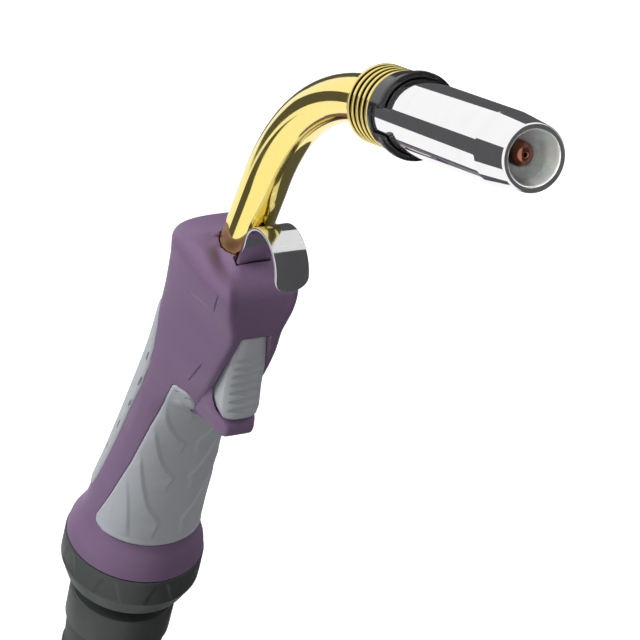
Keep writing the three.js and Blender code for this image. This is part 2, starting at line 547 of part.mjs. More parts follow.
const gripSkin = toSolid(lofted(bodySections, GRIP_PROUD))
  .subtract(toSolid(lofted(bodySections, -GRIP_DEEP)));
for (const [name, outline] of [['front_grip', frontGripOutline], ['rear_grip', rearGripOutline]]) {
  const pad = gripSkin.intersect(toSolid(sideShape(outline, -40, 40))).subtract(keepSnoutWide);
  put(`${name}_right`, biggest(pad.intersect(rightSpace)), grey);
  put(`${name}_left`, biggest(pad.intersect(leftSpace)), grey);
}

screws.forEach(([x, z, face], i) => {
  const tip = -face * TIP_SHARE + CLEAR;
  const seat = face - HEAD_SINK + CLEAR - tip;
  const screw = turned([
    [0, 0], [SCREW_R, 0], [SCREW_R, seat - 0.2], [HEAD_R, seat], [HEAD_R, seat + HEAD_HEIGHT - 0.3],
    [HEAD_R - 0.9, seat + HEAD_HEIGHT], [0, seat + HEAD_HEIGHT]], 16);
  put(`shell_screw_${i + 1}`, toSolid(aim(screw, V(x, tip, z), V(0, 1, 0))), steel);
});

// ---------- trigger ----------
const TRIGGER_TOP = SLOT_TOP - CLEAR;
const TRIGGER_BOTTOM = -57.0;
const triggerFace = toSolid(frontShape(faceOutline(0, TRIGGER_TOP, TRIGGER_BOTTOM), 0, 40));
let trigger = toSolid(sideShape([
  [20.6, TRIGGER_TOP - 0.4], [21.3, -33], [21.6, -40], [22.1, -47], [24.0, -56.4], [23.4, TRIGGER_BOTTOM],
  [12.6, TRIGGER_BOTTOM], [11.4, -52], [11.4, -36], [11.0, -32.4], [11.0, -25.6], [12.0, TRIGGER_TOP]],
-TRIGGER_HALF_W, TRIGGER_HALF_W)).intersect(triggerFace);
// The sides narrow to a ribbed face.
const RIBBED_HALF = TRIGGER_HALF_W - 2.4;
for (const side of [-1, 1]) {
  const facet = new THREE.ExtrudeGeometry(new THREE.Shape([
    new THREE.Vector2(16.2, TRIGGER_HALF_W), new THREE.Vector2(22.3, RIBBED_HALF), new THREE.Vector2(30, 1),
    new THREE.Vector2(30, 12), new THREE.Vector2(16.2, 12)]), { depth: 60, bevelEnabled: false })
    .translate(0, 0, -70);
  if (side < 0) facet.applyMatrix4(new THREE.Matrix4().makeScale(1, -1, 1));
  trigger = trigger.subtract(toSolid(facet));
}
const GROOVE_COUNT = 8;
const GROOVE_PITCH = 3.2;
const GROOVE_R = 0.95;
for (let i = 0; i < GROOVE_COUNT; i += 1) {
  const z = -30.6 - GROOVE_PITCH * i;
  const x = z > -47 ? 21.4 + (-33 - z) * 0.055 : 22.1 + (-47 - z) * 0.2;
  trigger = trigger.subtract(toSolid(rod(x + 0.65, -12, 12, z, GROOVE_R, 12)));
}
trigger = trigger.subtract(toSolid(rod(PIN_X, -10, 10, PIN_Z, PIN_R + CLEAR)));
// Pocket for the spring, and a rib that meets the plunger.
const SPRING_Z = -36.6;
const SPRING_R = 2.0;
const SPRING_WIRE_R = 0.28;
const springPocket = turned(rodProfile(SPRING_R + 1, -4, 3.4), 24);
trigger = trigger.subtract(toSolid(aim(springPocket, V(11.4, 0, SPRING_Z), V(1, 0, 0))));
trigger = trigger.add(toSolid(box(10.4, 12.4, -1.6, 1.6, -49.4, -45.6)));
put('trigger', biggest(trigger), grey);
put('trigger_pin', toSolid(rod(PIN_X, -PIN_HALF, PIN_HALF, PIN_Z, PIN_R, 20)), steel);

// Compression spring between the shell's seat and the trigger.
class Coil extends THREE.Curve {
  getPoint(t) {
    const turns = 5;
    const a = 2 * Math.PI * turns * t;
    return V(4.2 + 10.2 * t, SPRING_R * Math.cos(a), SPRING_Z + SPRING_R * Math.sin(a));
  }
}
const wire = new THREE.Shape();
wire.absarc(0, 0, SPRING_WIRE_R, 0, 2 * Math.PI);
put('trigger_spring', toSolid(new THREE.ExtrudeGeometry(wire, {
  steps: 45, curveSegments: 2, extrudePath: new Coil(), bevelEnabled: false })), steel);

// ---------- switch ----------
const switchCut = toSolid(box(4.4, 10, -1.25, 1.25, -49.0, -46.0));
let switchBody = toSolid(box(SWITCH.x0, SWITCH.x1, -SWITCH.half, SWITCH.half, SWITCH.z0, SWITCH.z1));
switchBody = switchBody.subtract(switchCut);
const TERMINAL_Y = 1.5;
for (const y of [-TERMINAL_Y, TERMINAL_Y]) {
  const slit = box(-1.95, -1.05, y - 0.8, y + 0.8, SWITCH.z0 - 1, SWITCH.z0 + 2.6);
  switchBody = switchBody.subtract(toSolid(slit));
}
put('switch_body', switchBody, black);
put('switch_plunger', toSolid(box(6.6, 10.1, -0.95, 0.95, -48.7, -46.3)), red);
['a', 'b'].forEach((tag, i) => {
  const y = i ? TERMINAL_Y : -TERMINAL_Y;
  put(`switch_terminal_${tag}`, toSolid(box(-1.75, -1.25, y - 0.5, y + 0.5, -57.6, SWITCH.z0 + 2.3)), brass);
  const path = new THREE.CatmullRomCurve3([
    V(-1.5, y, -57.95), V(-1.9, y * 1.2, -59.6), V(-3.6, y * 2.4, -63.5), V(-7.4, y * 5, -73),
    V(-13.5, y * 6.2, along(-95)), V(-19.5, y * 6.4, along(-122)), V(-23, y * 6.4, along(-141))]);
  const core = new THREE.Shape();
  core.absarc(0, 0, 0.8, 0, 2 * Math.PI);
  put(`switch_wire_${tag}`, toSolid(new THREE.ExtrudeGeometry(core, {
    steps: 16, curveSegments: 2, extrudePath: path, bevelEnabled: false })), i ? red : black);
});
// A bridge-shaped plug takes both wires and leaves the middle free for the power tube.
const PLUG_END = along(-141.6);
put('wire_plug', toSolid(box(-30.5, -17.5, -11.6, 11.6, PLUG_END - 8.2, PLUG_END))
  .subtract(toSolid(box(-40, 0, -7.4, 7.4, PLUG_END - 18, PLUG_END + 40)))
  .add(toSolid(box(-19.6, -17.5, -11.6, 11.6, PLUG_END - 8.2, PLUG_END - 3.4))), white);

// ---------- hanging hook ----------
const outerStrip = [];
const innerStrip = [];
const half = HOOK_T / 2;
function strip(x, z, nx, nz) {
  outerStrip.push([x + nx * half, z + nz * half]);
  innerStrip.unshift([x - nx * half, z - nz * half]);
}
strip(footX1, FOOT_Z, 0, 1);
outerStrip.push([legX(FOOT_Z) + half, FOOT_Z + half]);
innerStrip.unshift([legX(FOOT_Z) - half, FOOT_Z - half]);
strip(legX(FOOT_Z + 2), FOOT_Z + 2, 0.985, -0.174);
strip(HOOK_X - HOOK_R - 0.02, HOOK_Z - 0.6, 0.995, -0.09);
for (let i = 0; i <= 16; i += 1) {
  const a = Math.PI - (Math.PI * i) / 16;
  strip(HOOK_X + HOOK_R * Math.cos(a), HOOK_Z + HOOK_R * Math.sin(a), -Math.cos(a), -Math.sin(a));
}
strip(HOOK_X + HOOK_R, HOOK_END, -1, 0);
const hookSide = toSolid(sideShape([...outerStrip, ...innerStrip], -HOOK_HALF_W, HOOK_HALF_W));
// The free end is rounded and the foot has the rivet's hole.
const endFlat = 1.2;          // half the flat between the two round corners
const endR = HOOK_HALF_W - endFlat;
const endX = HOOK_X + HOOK_R;
const roundAt = (y) => toSolid(
  aim(turned(rodProfile(endR, 0, 20), 32), V(endX - 10, y, HOOK_END + endR), V(1, 0, 0)));
const endRound = toSolid(box(endX - 4, endX + 6, -10, 10, HOOK_END - 3, HOOK_END + endR))
  .subtract(roundAt(-endFlat)).subtract(roundAt(endFlat))
  .subtract(toSolid(box(endX - 5, endX + 7, -endFlat, endFlat, HOOK_END - 1, HOOK_END + 9)));
let hook = hookSide.subtract(endRound);
hook = hook.subtract(toSolid(turned(rodProfile(1.7, -2, 2), 16).translate(RIVET_X, 0, FOOT_Z)));
put('hanging_hook', biggest(hook), chrome);
put('hook_rivet', toSolid(turned([
  [0, -4.3], [2.3, -4.3], [2.3, -2.9], [1.4, -2.9], [1.4, 1.3], [2.3, 1.3], [2.3, 2.4], [0, 2.4]], 16)
  .translate(RIVET_X, 0, FOOT_Z)), steel);

// ---------- rear: locking ring, race, ball and cable support ----------
// Lengths are measured from the bell's end.
const atBell = (geometry) => toSolid(geometry.translate(RING_X, 0, RING_Z));
put('locking_ring', atBell(turned([
  [RACE_R + CLEAR, -CLEAR], [LOCK_R, -CLEAR], [LOCK_R, -10.6], [RACE_R + 0.1, -17.8], [RACE_R - 0.9, -17.8],
  [RACE_R - 0.9, -13.6], [RACE_R + CLEAR, -13.6]], 36)), darkGrey);
const socketR = BALL_R + CLEAR;
const ballZ = BALL_Z - RING_Z;
const raceInner = [];
for (let i = 0; i <= 5; i += 1) {
  const z = -4.7 - (12.4 * i) / 5;
  raceInner.push([Math.sqrt(socketR * socketR - (z - ballZ) ** 2), z]);
}
put('swivel_race', atBell(turned([
  ...raceInner, [RACE_R - 1.3, -17.1], [RACE_R - 1.3, -13.4], [RACE_R, -13.3], [RACE_R, -9.5],
  [SPIGOT_BORE - CLEAR, -9.5], [SPIGOT_BORE - CLEAR, -4.7]], 28)), darkGrey);
const ballProfile = [];
for (let i = 0; i <= 6; i += 1) {
  const z = 11.2 - (19.6 * i) / 6;
  ballProfile.push([Math.sqrt(BALL_R * BALL_R - z * z), z + ballZ]);
}
put('swivel_knuckle', atBell(turned([
  ...ballProfile, [14.2, -22.8], [14.6, -24.4], [18.2, -24.6], [18.7, -25.2], [18.5, -38.6], [14.4, -38.6],
  [14.4, -49.2], [CABLE_R, -49.2], [CABLE_R, ballZ + 11.2]], 28)), darkGrey);
// The soft support has two ribs.
const tail = -SUPPORT_LENGTH;
put('cable_support', atBell(turned([
  [14.7, -38.9], [17.7, -38.9], [17.3, -44.2], [16.7, -51.8], [17.4, -52.8], [17.2, -56.2], [16.2, -57.0],
  [16.0, tail + 8.4], [16.8, tail + 7.6], [16.6, tail + 4.4], [15.6, tail + 3.6], [15.4, tail], [CABLE_R, tail],
  [CABLE_R, -49.5], [14.7, -49.5]], 28)), darkGrey);

export default torch;
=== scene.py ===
import json
import math

import bpy
import numpy as np
from mathutils import Matrix, Vector
from mathutils.geometry import tessellate_polygon


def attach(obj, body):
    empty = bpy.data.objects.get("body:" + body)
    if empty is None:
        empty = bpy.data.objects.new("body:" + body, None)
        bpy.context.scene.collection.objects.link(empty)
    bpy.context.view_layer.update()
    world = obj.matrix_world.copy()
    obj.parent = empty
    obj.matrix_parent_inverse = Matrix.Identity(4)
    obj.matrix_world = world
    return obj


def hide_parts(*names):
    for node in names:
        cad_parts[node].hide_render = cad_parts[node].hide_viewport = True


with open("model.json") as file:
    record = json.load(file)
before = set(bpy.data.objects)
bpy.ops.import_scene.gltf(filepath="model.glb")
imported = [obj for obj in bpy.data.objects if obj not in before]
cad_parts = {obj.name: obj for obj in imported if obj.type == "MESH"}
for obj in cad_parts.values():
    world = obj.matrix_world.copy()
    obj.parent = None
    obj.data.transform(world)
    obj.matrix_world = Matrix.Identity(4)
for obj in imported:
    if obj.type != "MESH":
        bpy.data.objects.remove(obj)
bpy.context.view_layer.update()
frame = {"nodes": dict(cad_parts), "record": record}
nodes = frame["nodes"]
scene = bpy.context.scene
print("frame loaded,", len(nodes), "nodes")

# The drawing works in millimetres from the foot of the neck, the frame in metres from the hook's inner apex.
drawing = {"hookApex": (22.4, 0.0, 20.2), "clearance": 0.3}
clear = drawing["clearance"]
xWay, yWay, zWay = np.eye(3)


def toMetres(points):
    # the way from the hook's apex, over a thousand
    return (np.asarray(points, float) - drawing["hookApex"]) * 0.001


def newObject(name, data):
    made = bpy.data.objects.new(name, data)
    scene.collection.objects.link(made)
    return made


# camera, at the photograph's angle
cameraView = {"azimuth": 56.65, "elevation": 39.024, "roll": 13.737, "distance": 1977.936,
              "aimRight": -25.305, "aimUp": 26.192, "lens": 337.5, "sensor": 36.0, "clipEnd": 50}


def makeCamera(view):
    # back points from the torch to the camera; right and up are the level axes turned about it by the roll
    azimuth, elevation, roll = (math.radians(view[k]) for k in ("azimuth", "elevation", "roll"))
    back = np.array([math.sin(azimuth) * math.cos(elevation),
                     -math.cos(azimuth) * math.cos(elevation), math.sin(elevation)])
    level = np.array([math.cos(azimuth), math.sin(azimuth), 0.0])
    rise = np.cross(back, level)
    right = level * math.cos(roll) + rise * math.sin(roll)
    up = rise * math.cos(roll) - level * math.sin(roll)
    where = toMetres(back * view["distance"] - right * view["aimRight"] - up * view["aimUp"])
    camera = newObject("camera", bpy.data.cameras.new("camera"))
    camera.data.lens = view["lens"]
    camera.data.sensor_width = view["sensor"]
    camera.data.clip_end = view["clipEnd"]
    camera.matrix_world = Matrix([[right[i], up[i], back[i], where[i]] for i in range(3)] + [[0, 0, 0, 1]])
    scene.camera = camera


makeCamera(cameraView)
print("camera placed")


def unit(v):
    # the vector over its length
    return v / np.linalg.norm(v, axis=-1, keepdims=True)


def around(count):
    # equal angles of one full turn
    return np.linspace(0, 2 * math.pi, count, endpoint=False)


def travelled(path):
    # the distance along a path at each of its points
    return np.concatenate([[0], np.cumsum(np.linalg.norm(np.diff(path, axis=0), axis=1))])


def ringsAlong(path, side, over, size, count):
    # at each point of the path: size * (cos(a) * side + sin(a) * over), for a full turn of a
    a = around(count)[None, :, None]
    return np.asarray(path, float)[:, None] + size * (np.cos(a) * side + np.sin(a) * over)


def makeMesh(name, points, faces, metres=False):
    # points in drawing millimetres, faces as triangles; turned so that the enclosed volume is positive
    corners = points[faces]
    if np.einsum("ij,ij->", corners[:, 0], np.cross(corners[:, 1], corners[:, 2])) < 0:
        faces = faces[:, ::-1]
    mesh = bpy.data.meshes.new(name)
    mesh.vertices.add(len(points))
    mesh.vertices.foreach_set("co", (points if metres else toMetres(points)).astype(np.float32).ravel())
    mesh.loops.add(faces.size)
    mesh.loops.foreach_set("vertex_index", faces.astype(np.int32).ravel())
    mesh.polygons.add(len(faces))
    mesh.polygons.foreach_set("loop_start", np.arange(0, faces.size, 3, dtype=np.int32))
    mesh.update(calc_edges=True)
    mesh.validate()
    return newObject(name, mesh)


def gridFaces(rows, columns, closedRows):
    # two triangles for each cell; the columns always close on themselves
    r = np.arange(rows if closedRows else rows - 1)[:, None]
    c = np.arange(columns)[None, :]
    nextRow, nextColumn = (r + 1) % rows, (c + 1) % columns
    a, b = r * columns + c, r * columns + nextColumn
    d, e = nextRow * columns + c, nextRow * columns + nextColumn
    return np.concatenate([np.stack([a, b, e], -1).reshape(-1, 3), np.stack([a, e, d], -1).reshape(-1, 3)])


def loopedSolid(name, grid):
    # a surface that closes on itself both ways
    return makeMesh(name, grid.reshape(-1, 3), gridFaces(*grid.shape[:2], True))


def loftedSolid(name, grid):
    # rings stacked along the rows, with a fan from the centre of each end
    rows, columns = grid.shape[:2]
    ring = np.arange(columns)
    follow, last = (ring + 1) % columns, (rows - 1) * columns
    centre = np.full(columns, rows * columns)
    ends = [np.stack([centre, follow, ring], -1), np.stack([centre + 1, last + ring, last + follow], -1)]
    points = np.concatenate([grid.reshape(-1, 3), grid[0].mean(0)[None], grid[-1].mean(0)[None]])
    return makeMesh(name, points, np.concatenate([gridFaces(rows, columns, False), *ends]))


def roundedCorners(corners, radius, steps=4):
    # each corner gives way to a parabola between the points one radius before and after it
    p = np.asarray(corners, float)
    before, after = np.roll(p, 1, 0) - p, np.roll(p, -1, 0) - p
    lengthBefore, lengthAfter = np.linalg.norm(before, axis=1), np.linalg.norm(after, axis=1)
    reach = np.minimum(radius, 0.45 * np.minimum(lengthBefore, lengthAfter))
    start = p + before * (reach / lengthBefore)[:, None]
    end = p + after * (reach / lengthAfter)[:, None]
    u = np.linspace(0, 1, steps + 1)[None, :, None]
    curve = (1 - u) ** 2 * start[:, None] + 2 * u * (1 - u) * p[:, None] + u ** 2 * end[:, None]
    return curve.reshape(-1, p.shape[1])


def turnedPoints(profile, segments):
    # the closed profile of radius and height is carried round Z
    angle = around(segments)[:, None]
    radius, height = profile[None, :, 0], profile[None, :, 1]
    return np.stack([radius * np.cos(angle), radius * np.sin(angle), height + 0 * angle], -1)


def turnedSolid(name, stand, profile, rounding, segments, steps=4):
    # the profile with its corners rounded, turned round Z and put in its place by stand
    return loopedSolid(name, stand(turnedPoints(roundedCorners(profile, rounding, steps), segments)))


def prism(name, outline, low, high, axis=1):
    # a side view outline of x and z carried from low to high along Y, or one of y and z along X, which is axis 0
    outline = np.asarray(outline, float)
    grid = np.stack([np.insert(outline, axis, at, axis=1) for at in (low, high)])
    ends = np.array(tessellate_polygon([[Vector((x, y, 0)) for x, y in outline]]))
    faces = [gridFaces(2, len(outline), False), ends[:, ::-1], ends + len(outline)]
    return makeMesh(name, grid.reshape(-1, 3), np.concatenate(faces))


def box(name, x, y, z):
    # a block between two values on each axis
    return prism(name, [(x[0], z[0]), (x[1], z[0]), (x[1], z[1]), (x[0], z[1])], *y)


def rod(name, start, end, radius, segments=40):
    # a cylinder, whose round section is spanned by two unit vectors square to its way
    start, end = np.asarray(start, float), np.asarray(end, float)
    way = unit(end - start)
    side = unit(np.cross(way, [0.3, 0.9, 0.2]))
    return loftedSolid(name, ringsAlong([start, end], side, np.cross(way, side), radius, segments))


def applied(made):
    # the modifiers' result becomes the mesh
    mesh = bpy.data.meshes.new_from_object(made.evaluated_get(bpy.context.evaluated_depsgraph_get()))
    old = made.data
    made.modifiers.clear()
    made.data = mesh
    bpy.data.meshes.remove(old)
    return made


def combined(target, other, operation, keep=False):
    # DIFFERENCE, UNION or INTERSECT with an exact solid result
    joint = target.modifiers.new("combined", "BOOLEAN")
    joint.solver = "MANIFOLD"
    joint.operation = operation
    joint.object = other
    applied(target)
    if not keep:
        bpy.data.objects.remove(other)
    return target


def cutBy(target, other):
    return combined(target, other, "DIFFERENCE")


def copied(source, name):
    made = newObject(name, source.data.copy())
    made.data.materials.clear()
    return made


def nodeCopy(node, name):
    # a CAD node's loose triangles, joined into one skin
    made = copied(nodes[node], name)
    made.modifiers.new("weld", "WELD").merge_threshold = 2e-6
    return applied(made)


def readBack(items, field, width=1, kind=np.int32):
    # one field of every vertex, edge, loop or face
    values = np.empty(len(items) * width, kind)
    items.foreach_get(field, values)
    return values.reshape(-1, width) if width > 1 else values


def softenedEdges(made, angle=28, reach=0.45, rounds=3, strength=0.5, seam=0.0):
    # points beside an edge sharper than the angle move towards their neighbours' mean,
    # where a neighbour counts less the further it is: weight = exp(-(distance / reach)^2);
    # points within the seam's distance of the middle plane stay
    mesh = made.data
    points = readBack(mesh.vertices, "co", 3, np.float32).astype(float) * 1000
    edges = readBack(mesh.edges, "vertices", 2)
    normals = readBack(mesh.polygons, "normal", 3, np.float32)
    loopEdge = readBack(mesh.loops, "edge_index")
    faceOfLoop = np.repeat(np.arange(len(mesh.polygons)), readBack(mesh.polygons, "loop_total"))
    order = np.argsort(loopEdge, kind="stable")
    counts = np.bincount(loopEdge, minlength=len(edges))
    pair = counts == 2
    first = (np.cumsum(counts) - counts)[pair]
    one, two = faceOfLoop[order[first]], faceOfLoop[order[first + 1]]
    sharp = np.einsum("ij,ij->i", normals[one], normals[two]) < math.cos(math.radians(angle))
    offSeam = np.abs(points[:, 1]) >= seam
    length = np.linalg.norm(points[edges[:, 0]] - points[edges[:, 1]], axis=1)
    chosen = np.zeros(len(points), bool)
    chosen[edges[pair][sharp].ravel()] = True
    chosen &= offSeam
    chosen[edges[chosen[edges].any(1) & (length < 2 * reach)].ravel()] = True
    chosen &= offSeam
    ends = edges[chosen[edges].any(1)]
    for _ in range(rounds):
        gap = points[ends[:, 1]] - points[ends[:, 0]]
        weight = np.exp(-(np.linalg.norm(gap, axis=1) / reach) ** 2)[:, None]
        pull, total = np.zeros_like(points), np.full((len(points), 1), 1e-9)
        for end, way in ((ends[:, 0], 1), (ends[:, 1], -1)):
            np.add.at(pull, end, way * gap * weight)
            np.add.at(total, end, weight)
        points[chosen] += (pull / total * strength * np.minimum(total, 1))[chosen]
    mesh.vertices.foreach_set("co", (points * 0.001).astype(np.float32).ravel())
    mesh.update()
    return made


def sharpParting(made, reach):
    # edges that lie on the parting plane stay sharp, so that the skin's shading stops there
    onPlane = np.abs(readBack(made.data.vertices, "co", 3, np.float32)[:, 1].astype(float)) * 1000 < reach
    marks = made.data.attributes["sharp_edge"].data
    sharp = readBack(marks, "value", kind=bool)
    marks.foreach_set("value", sharp | onPlane[readBack(made.data.edges, "vertices", 2)].all(1))


def fill(tree, made, *values, **settings):
    # values go to the first sockets, a setting to the socket of its name or else to the node itself;
    # an output among them is linked
    for key, value in [*enumerate(values), *settings.items()]:
        socket = key if isinstance(key, int) else key.replace("_", " ")
        if isinstance(value, bpy.types.NodeSocket):
            tree.links.new(value, made.inputs[socket])
        elif isinstance(key, int) or socket in made.inputs:
            made.inputs[socket].default_value = value
        else:
            setattr(made, key, value)
    return made


def addNode(tree, kind, *values, **settings):
    return fill(tree, tree.nodes.new("ShaderNode" + kind), *values, **settings)


def reckoned(tree, operation, *values):
    return addNode(tree, "Math", *values, operation=operation).outputs[0]


def vectorReckoned(tree, operation, *values, **settings):
    made = addNode(tree, "VectorMath", *values, operation=operation, **settings)
    return made.outputs["Value" if operation in ("DOT_PRODUCT", "LENGTH") else "Vector"]


def ranged(tree, value, low, high, start=0.0, end=1.0):
    # low to high while the value goes from start to end
    return addNode(tree, "MapRange", Value=value, From_Min=start, From_Max=end, To_Min=low,
                   To_Max=high).outputs["Result"]


def noise(tree, **settings):
    return addNode(tree, "TexNoise", **settings).outputs["Fac"]


def openGroup(name, **inputs):
    group = bpy.data.node_groups.new(name, "ShaderNodeTree")
    for label, value in inputs.items():
        kind = "NodeSocketVector" if isinstance(value, tuple) else "NodeSocketFloat"
        group.interface.new_socket(label, in_out="INPUT", socket_type=kind).default_value = value
    spot = addNode(group, "TexCoord").outputs["Object"]
    return group, group.nodes.new("NodeGroupInput").outputs, spot


def closeGroup(group, **outputs):
    for label in outputs:
        group.interface.new_socket(label, in_out="OUTPUT", socket_type="NodeSocketFloat")
    result = group.nodes.new("NodeGroupOutput")
    for label, value in outputs.items():
        group.links.new(value, result.inputs[label])
    return group


def mouldedGrainGroup():
    # a fine moulded texture with small specks, and a slow mottle
    group, given, spot = openGroup("mouldedGrain", Grain=2500.0, Mottle=40.0)
    grain = noise(group, Vector=spot, Scale=given["Grain"], Detail=2.0, Roughness=0.6)
    mottle = noise(group, Vector=spot, Scale=given["Mottle"], Detail=3.0, Roughness=0.55)
    coarser = reckoned(group, "MULTIPLY", given["Grain"], 0.45)
    speck = addNode(group, "TexVoronoi", feature="F1", Vector=spot, Scale=coarser).outputs["Distance"]
    return closeGroup(group, Height=reckoned(group, "MULTIPLY_ADD", speck, 0.5, grain), Mottle=mottle)


def turnedLinesGroup():
    # tool marks: noise that depends only on the travel along an axis plus the distance from it
    group, given, spot = openGroup("turnedLines", Point=(0.0, 0.0, 0.0), Axis=(0.0, 0.0, 1.0), Lines=1800.0)
    centred = vectorReckoned(group, "SUBTRACT", spot, given["Point"])
    travel = vectorReckoned(group, "DOT_PRODUCT", centred, given["Axis"])
    along = vectorReckoned(group, "SCALE", given["Axis"], Scale=travel)
    across = vectorReckoned(group, "SUBTRACT", centred, along)
    total = reckoned(group, "ADD", travel, vectorReckoned(group, "LENGTH", across))
    fine = noise(group, noise_dimensions="1D", W=total, Scale=given["Lines"], Detail=4.0, Roughness=0.7)
    band = noise(group, noise_dimensions="1D", W=total, Scale=160.0, Detail=2.0)
    # a face looks inwards where its normal points against the way out from the axis
    normal = addNode(group, "NewGeometry").outputs["True Normal"]
    facing = vectorReckoned(group, "DOT_PRODUCT", vectorReckoned(group, "NORMALIZE", across), normal)
    return closeGroup(group, Height=fine, Band=band, Inside=ranged(group, facing, 0.0, 1.0, -0.25, -0.45))


def handlingGroup():
    # smudges from fingers and fine short scratches
    group, given, spot = openGroup("handling", Smudge=55.0, Scratch=700.0)
    stretched = addNode(group, "Mapping", Vector=spot, Rotation=(0.5, 0.3, 0.9), Scale=(1.0, 0.12, 0.3)).outputs[0]
    smudge = noise(group, Vector=spot, Scale=given["Smudge"], Detail=4.0, Roughness=0.5, Distortion=0.6)
    scratch = noise(group, Vector=stretched, Scale=given["Scratch"], Detail=2.0, Roughness=0.4)
    return closeGroup(group, Smudge=ranged(group, smudge, 0.0, 1.0, 0.35, 0.68),
                      Scratch=ranged(group, scratch, 0.0, 1.0, 0.66, 0.72))


def wornEdgeGroup():
    # a mask on edges that stand out, broken up by noise, with none within the parting's distance of the middle plane
    group, given, spot = openGroup("wornEdge", From=0.53, To=0.6, Break=300.0, Parting=0.0)
    pointed = addNode(group, "NewGeometry").outputs["Pointiness"]
    broken = noise(group, Vector=spot, Scale=given["Break"], Detail=3.0)
    worn = reckoned(group, "MULTIPLY", ranged(group, pointed, 0.0, 1.0, given["From"], given["To"]), broken)
    away = reckoned(group, "ABSOLUTE", addNode(group, "SeparateXYZ", Vector=spot).outputs["Y"])
    clearOf = reckoned(group, "GREATER_THAN", away, given["Parting"])
    return closeGroup(group, Mask=reckoned(group, "MULTIPLY", clearOf, worn))


grainGroup, linesGroup, handGroup, edgeGroup = (
    mouldedGrainGroup(), turnedLinesGroup(), handlingGroup(), wornEdgeGroup())


def effect(tree, group, **values):
    return addNode(tree, "Group", node_tree=group, **values).outputs


def shade(colour, amount):
    # each channel times the amount, at most one
    return tuple(min(1.0, c * amount) for c in colour)


def mixed(tree, factor, first, second, amount=1.0):
    # first to second colour by factor times amount; either may be a colour or a socket
    mix = addNode(tree, "Mix", data_type="RGBA", Factor=reckoned(tree, "MULTIPLY", factor, amount))
    for socket, value in ((mix.inputs[6], first), (mix.inputs[7], second)):
        if isinstance(value, tuple):
            socket.default_value = (*value, 1.0)
        else:
            tree.links.new(value, socket)
    return mix.outputs[2]


def bumped(tree, height, strength, distance):
    return addNode(tree, "Bump", Strength=strength, Distance=distance, Height=height).outputs["Normal"]


def newFinish(name, **sockets):
    material = bpy.data.materials.new(name)
    material.use_nodes = True
    tree = material.node_tree
    return material, tree, fill(tree, tree.nodes["Principled BSDF"], **sockets)


def mouldedPlastic(name, colour, second, edge, roughness, grain=2600.0, mottle=38.0, bump=0.25, depth=0.00006,
                   worn=0.35, parting=0.0):
    # two close tones in a slow mottle, paler worn edges, uneven gloss and a fine grain
    material, tree, shader = newFinish(name)
    texture = effect(tree, grainGroup, Grain=grain, Mottle=mottle)
    edges = effect(tree, edgeGroup, Parting=parting)
    tone = mixed(tree, texture["Mottle"], colour, second)
    fill(tree, shader, Base_Color=mixed(tree, edges["Mask"], tone, edge, worn),
         Roughness=ranged(tree, effect(tree, handGroup)["Smudge"], *roughness),
         Normal=bumped(tree, texture["Height"], bump, depth))
    return material


def turnedMetal(name, colour, second, roughness, axis=(0.0, 0.0, 1.0), point=(0.0, 0.0, 0.0), bump=0.08,
                depth=0.00004, stain=None):
    # tool marks round the axis, a tone that drifts from band to band, smudges and scratches
    material, tree, shader = newFinish(name, Metallic=1.0)
    marks = effect(tree, linesGroup, Axis=axis, Point=point)
    hands = effect(tree, handGroup, Smudge=70.0)
    tone = mixed(tree, marks["Band"], colour, second)
    tone = mixed(tree, hands["Scratch"], tone, shade(colour, 1.25), 0.5)
    if stain:
        tone = mixed(tree, hands["Smudge"], tone, stain, 0.6)
    fill(tree, shader, Base_Color=tone, Roughness=ranged(tree, hands["Smudge"], *roughness),
         Normal=bumped(tree, marks["Height"], bump, depth))
    return material


def nozzleMetal(name, colour, bore, axis, point):
    # mirror chrome outside, in the bore a satin grey dulled by heat
    material, tree, shader = newFinish(name)
    marks = effect(tree, linesGroup, Lines=1500.0, Axis=axis, Point=point)
    hands = effect(tree, handGroup, Smudge=80.0)
    heat = effect(tree, grainGroup, Grain=3000.0, Mottle=120.0)
    bright = mixed(tree, marks["Band"], colour, shade(colour, 0.95))
    dull = mixed(tree, heat["Mottle"], bore, shade(bore, 0.72))
    polish = ranged(tree, hands["Smudge"], 0.02, 0.05)
    fill(tree, shader, Base_Color=mixed(tree, marks["Inside"], bright, dull),
         Metallic=ranged(tree, marks["Inside"], 1.0, 0.15),
         Roughness=reckoned(tree, "MULTIPLY_ADD", marks["Inside"], 0.42, polish),
         Normal=bumped(tree, marks["Height"], 0.02, 0.00003))
    return material


def goldMetal(name, colour, second, grooveShade, axis, point):
    # polished gold plate; the collar's grooves get painted shade, a dark brown, as its crevice attribute says
    material, tree, shader = newFinish(name, Metallic=1.0)
    marks = effect(tree, linesGroup, Lines=1500.0, Axis=axis, Point=point)
    hands = effect(tree, handGroup, Smudge=70.0)
    crevice = addNode(tree, "Attribute", attribute_name="crevice").outputs["Fac"]
    tone = mixed(tree, marks["Band"], colour, second)
    tone = mixed(tree, hands["Scratch"], tone, shade(colour, 1.1), 0.4)
    polish = ranged(tree, hands["Smudge"], 0.03, 0.10)
    fill(tree, shader, Base_Color=mixed(tree, crevice, tone, grooveShade),
         Roughness=reckoned(tree, "MULTIPLY_ADD", crevice, 0.25, polish),
         Normal=bumped(tree, marks["Height"], 0.015, 0.00003))
    return material


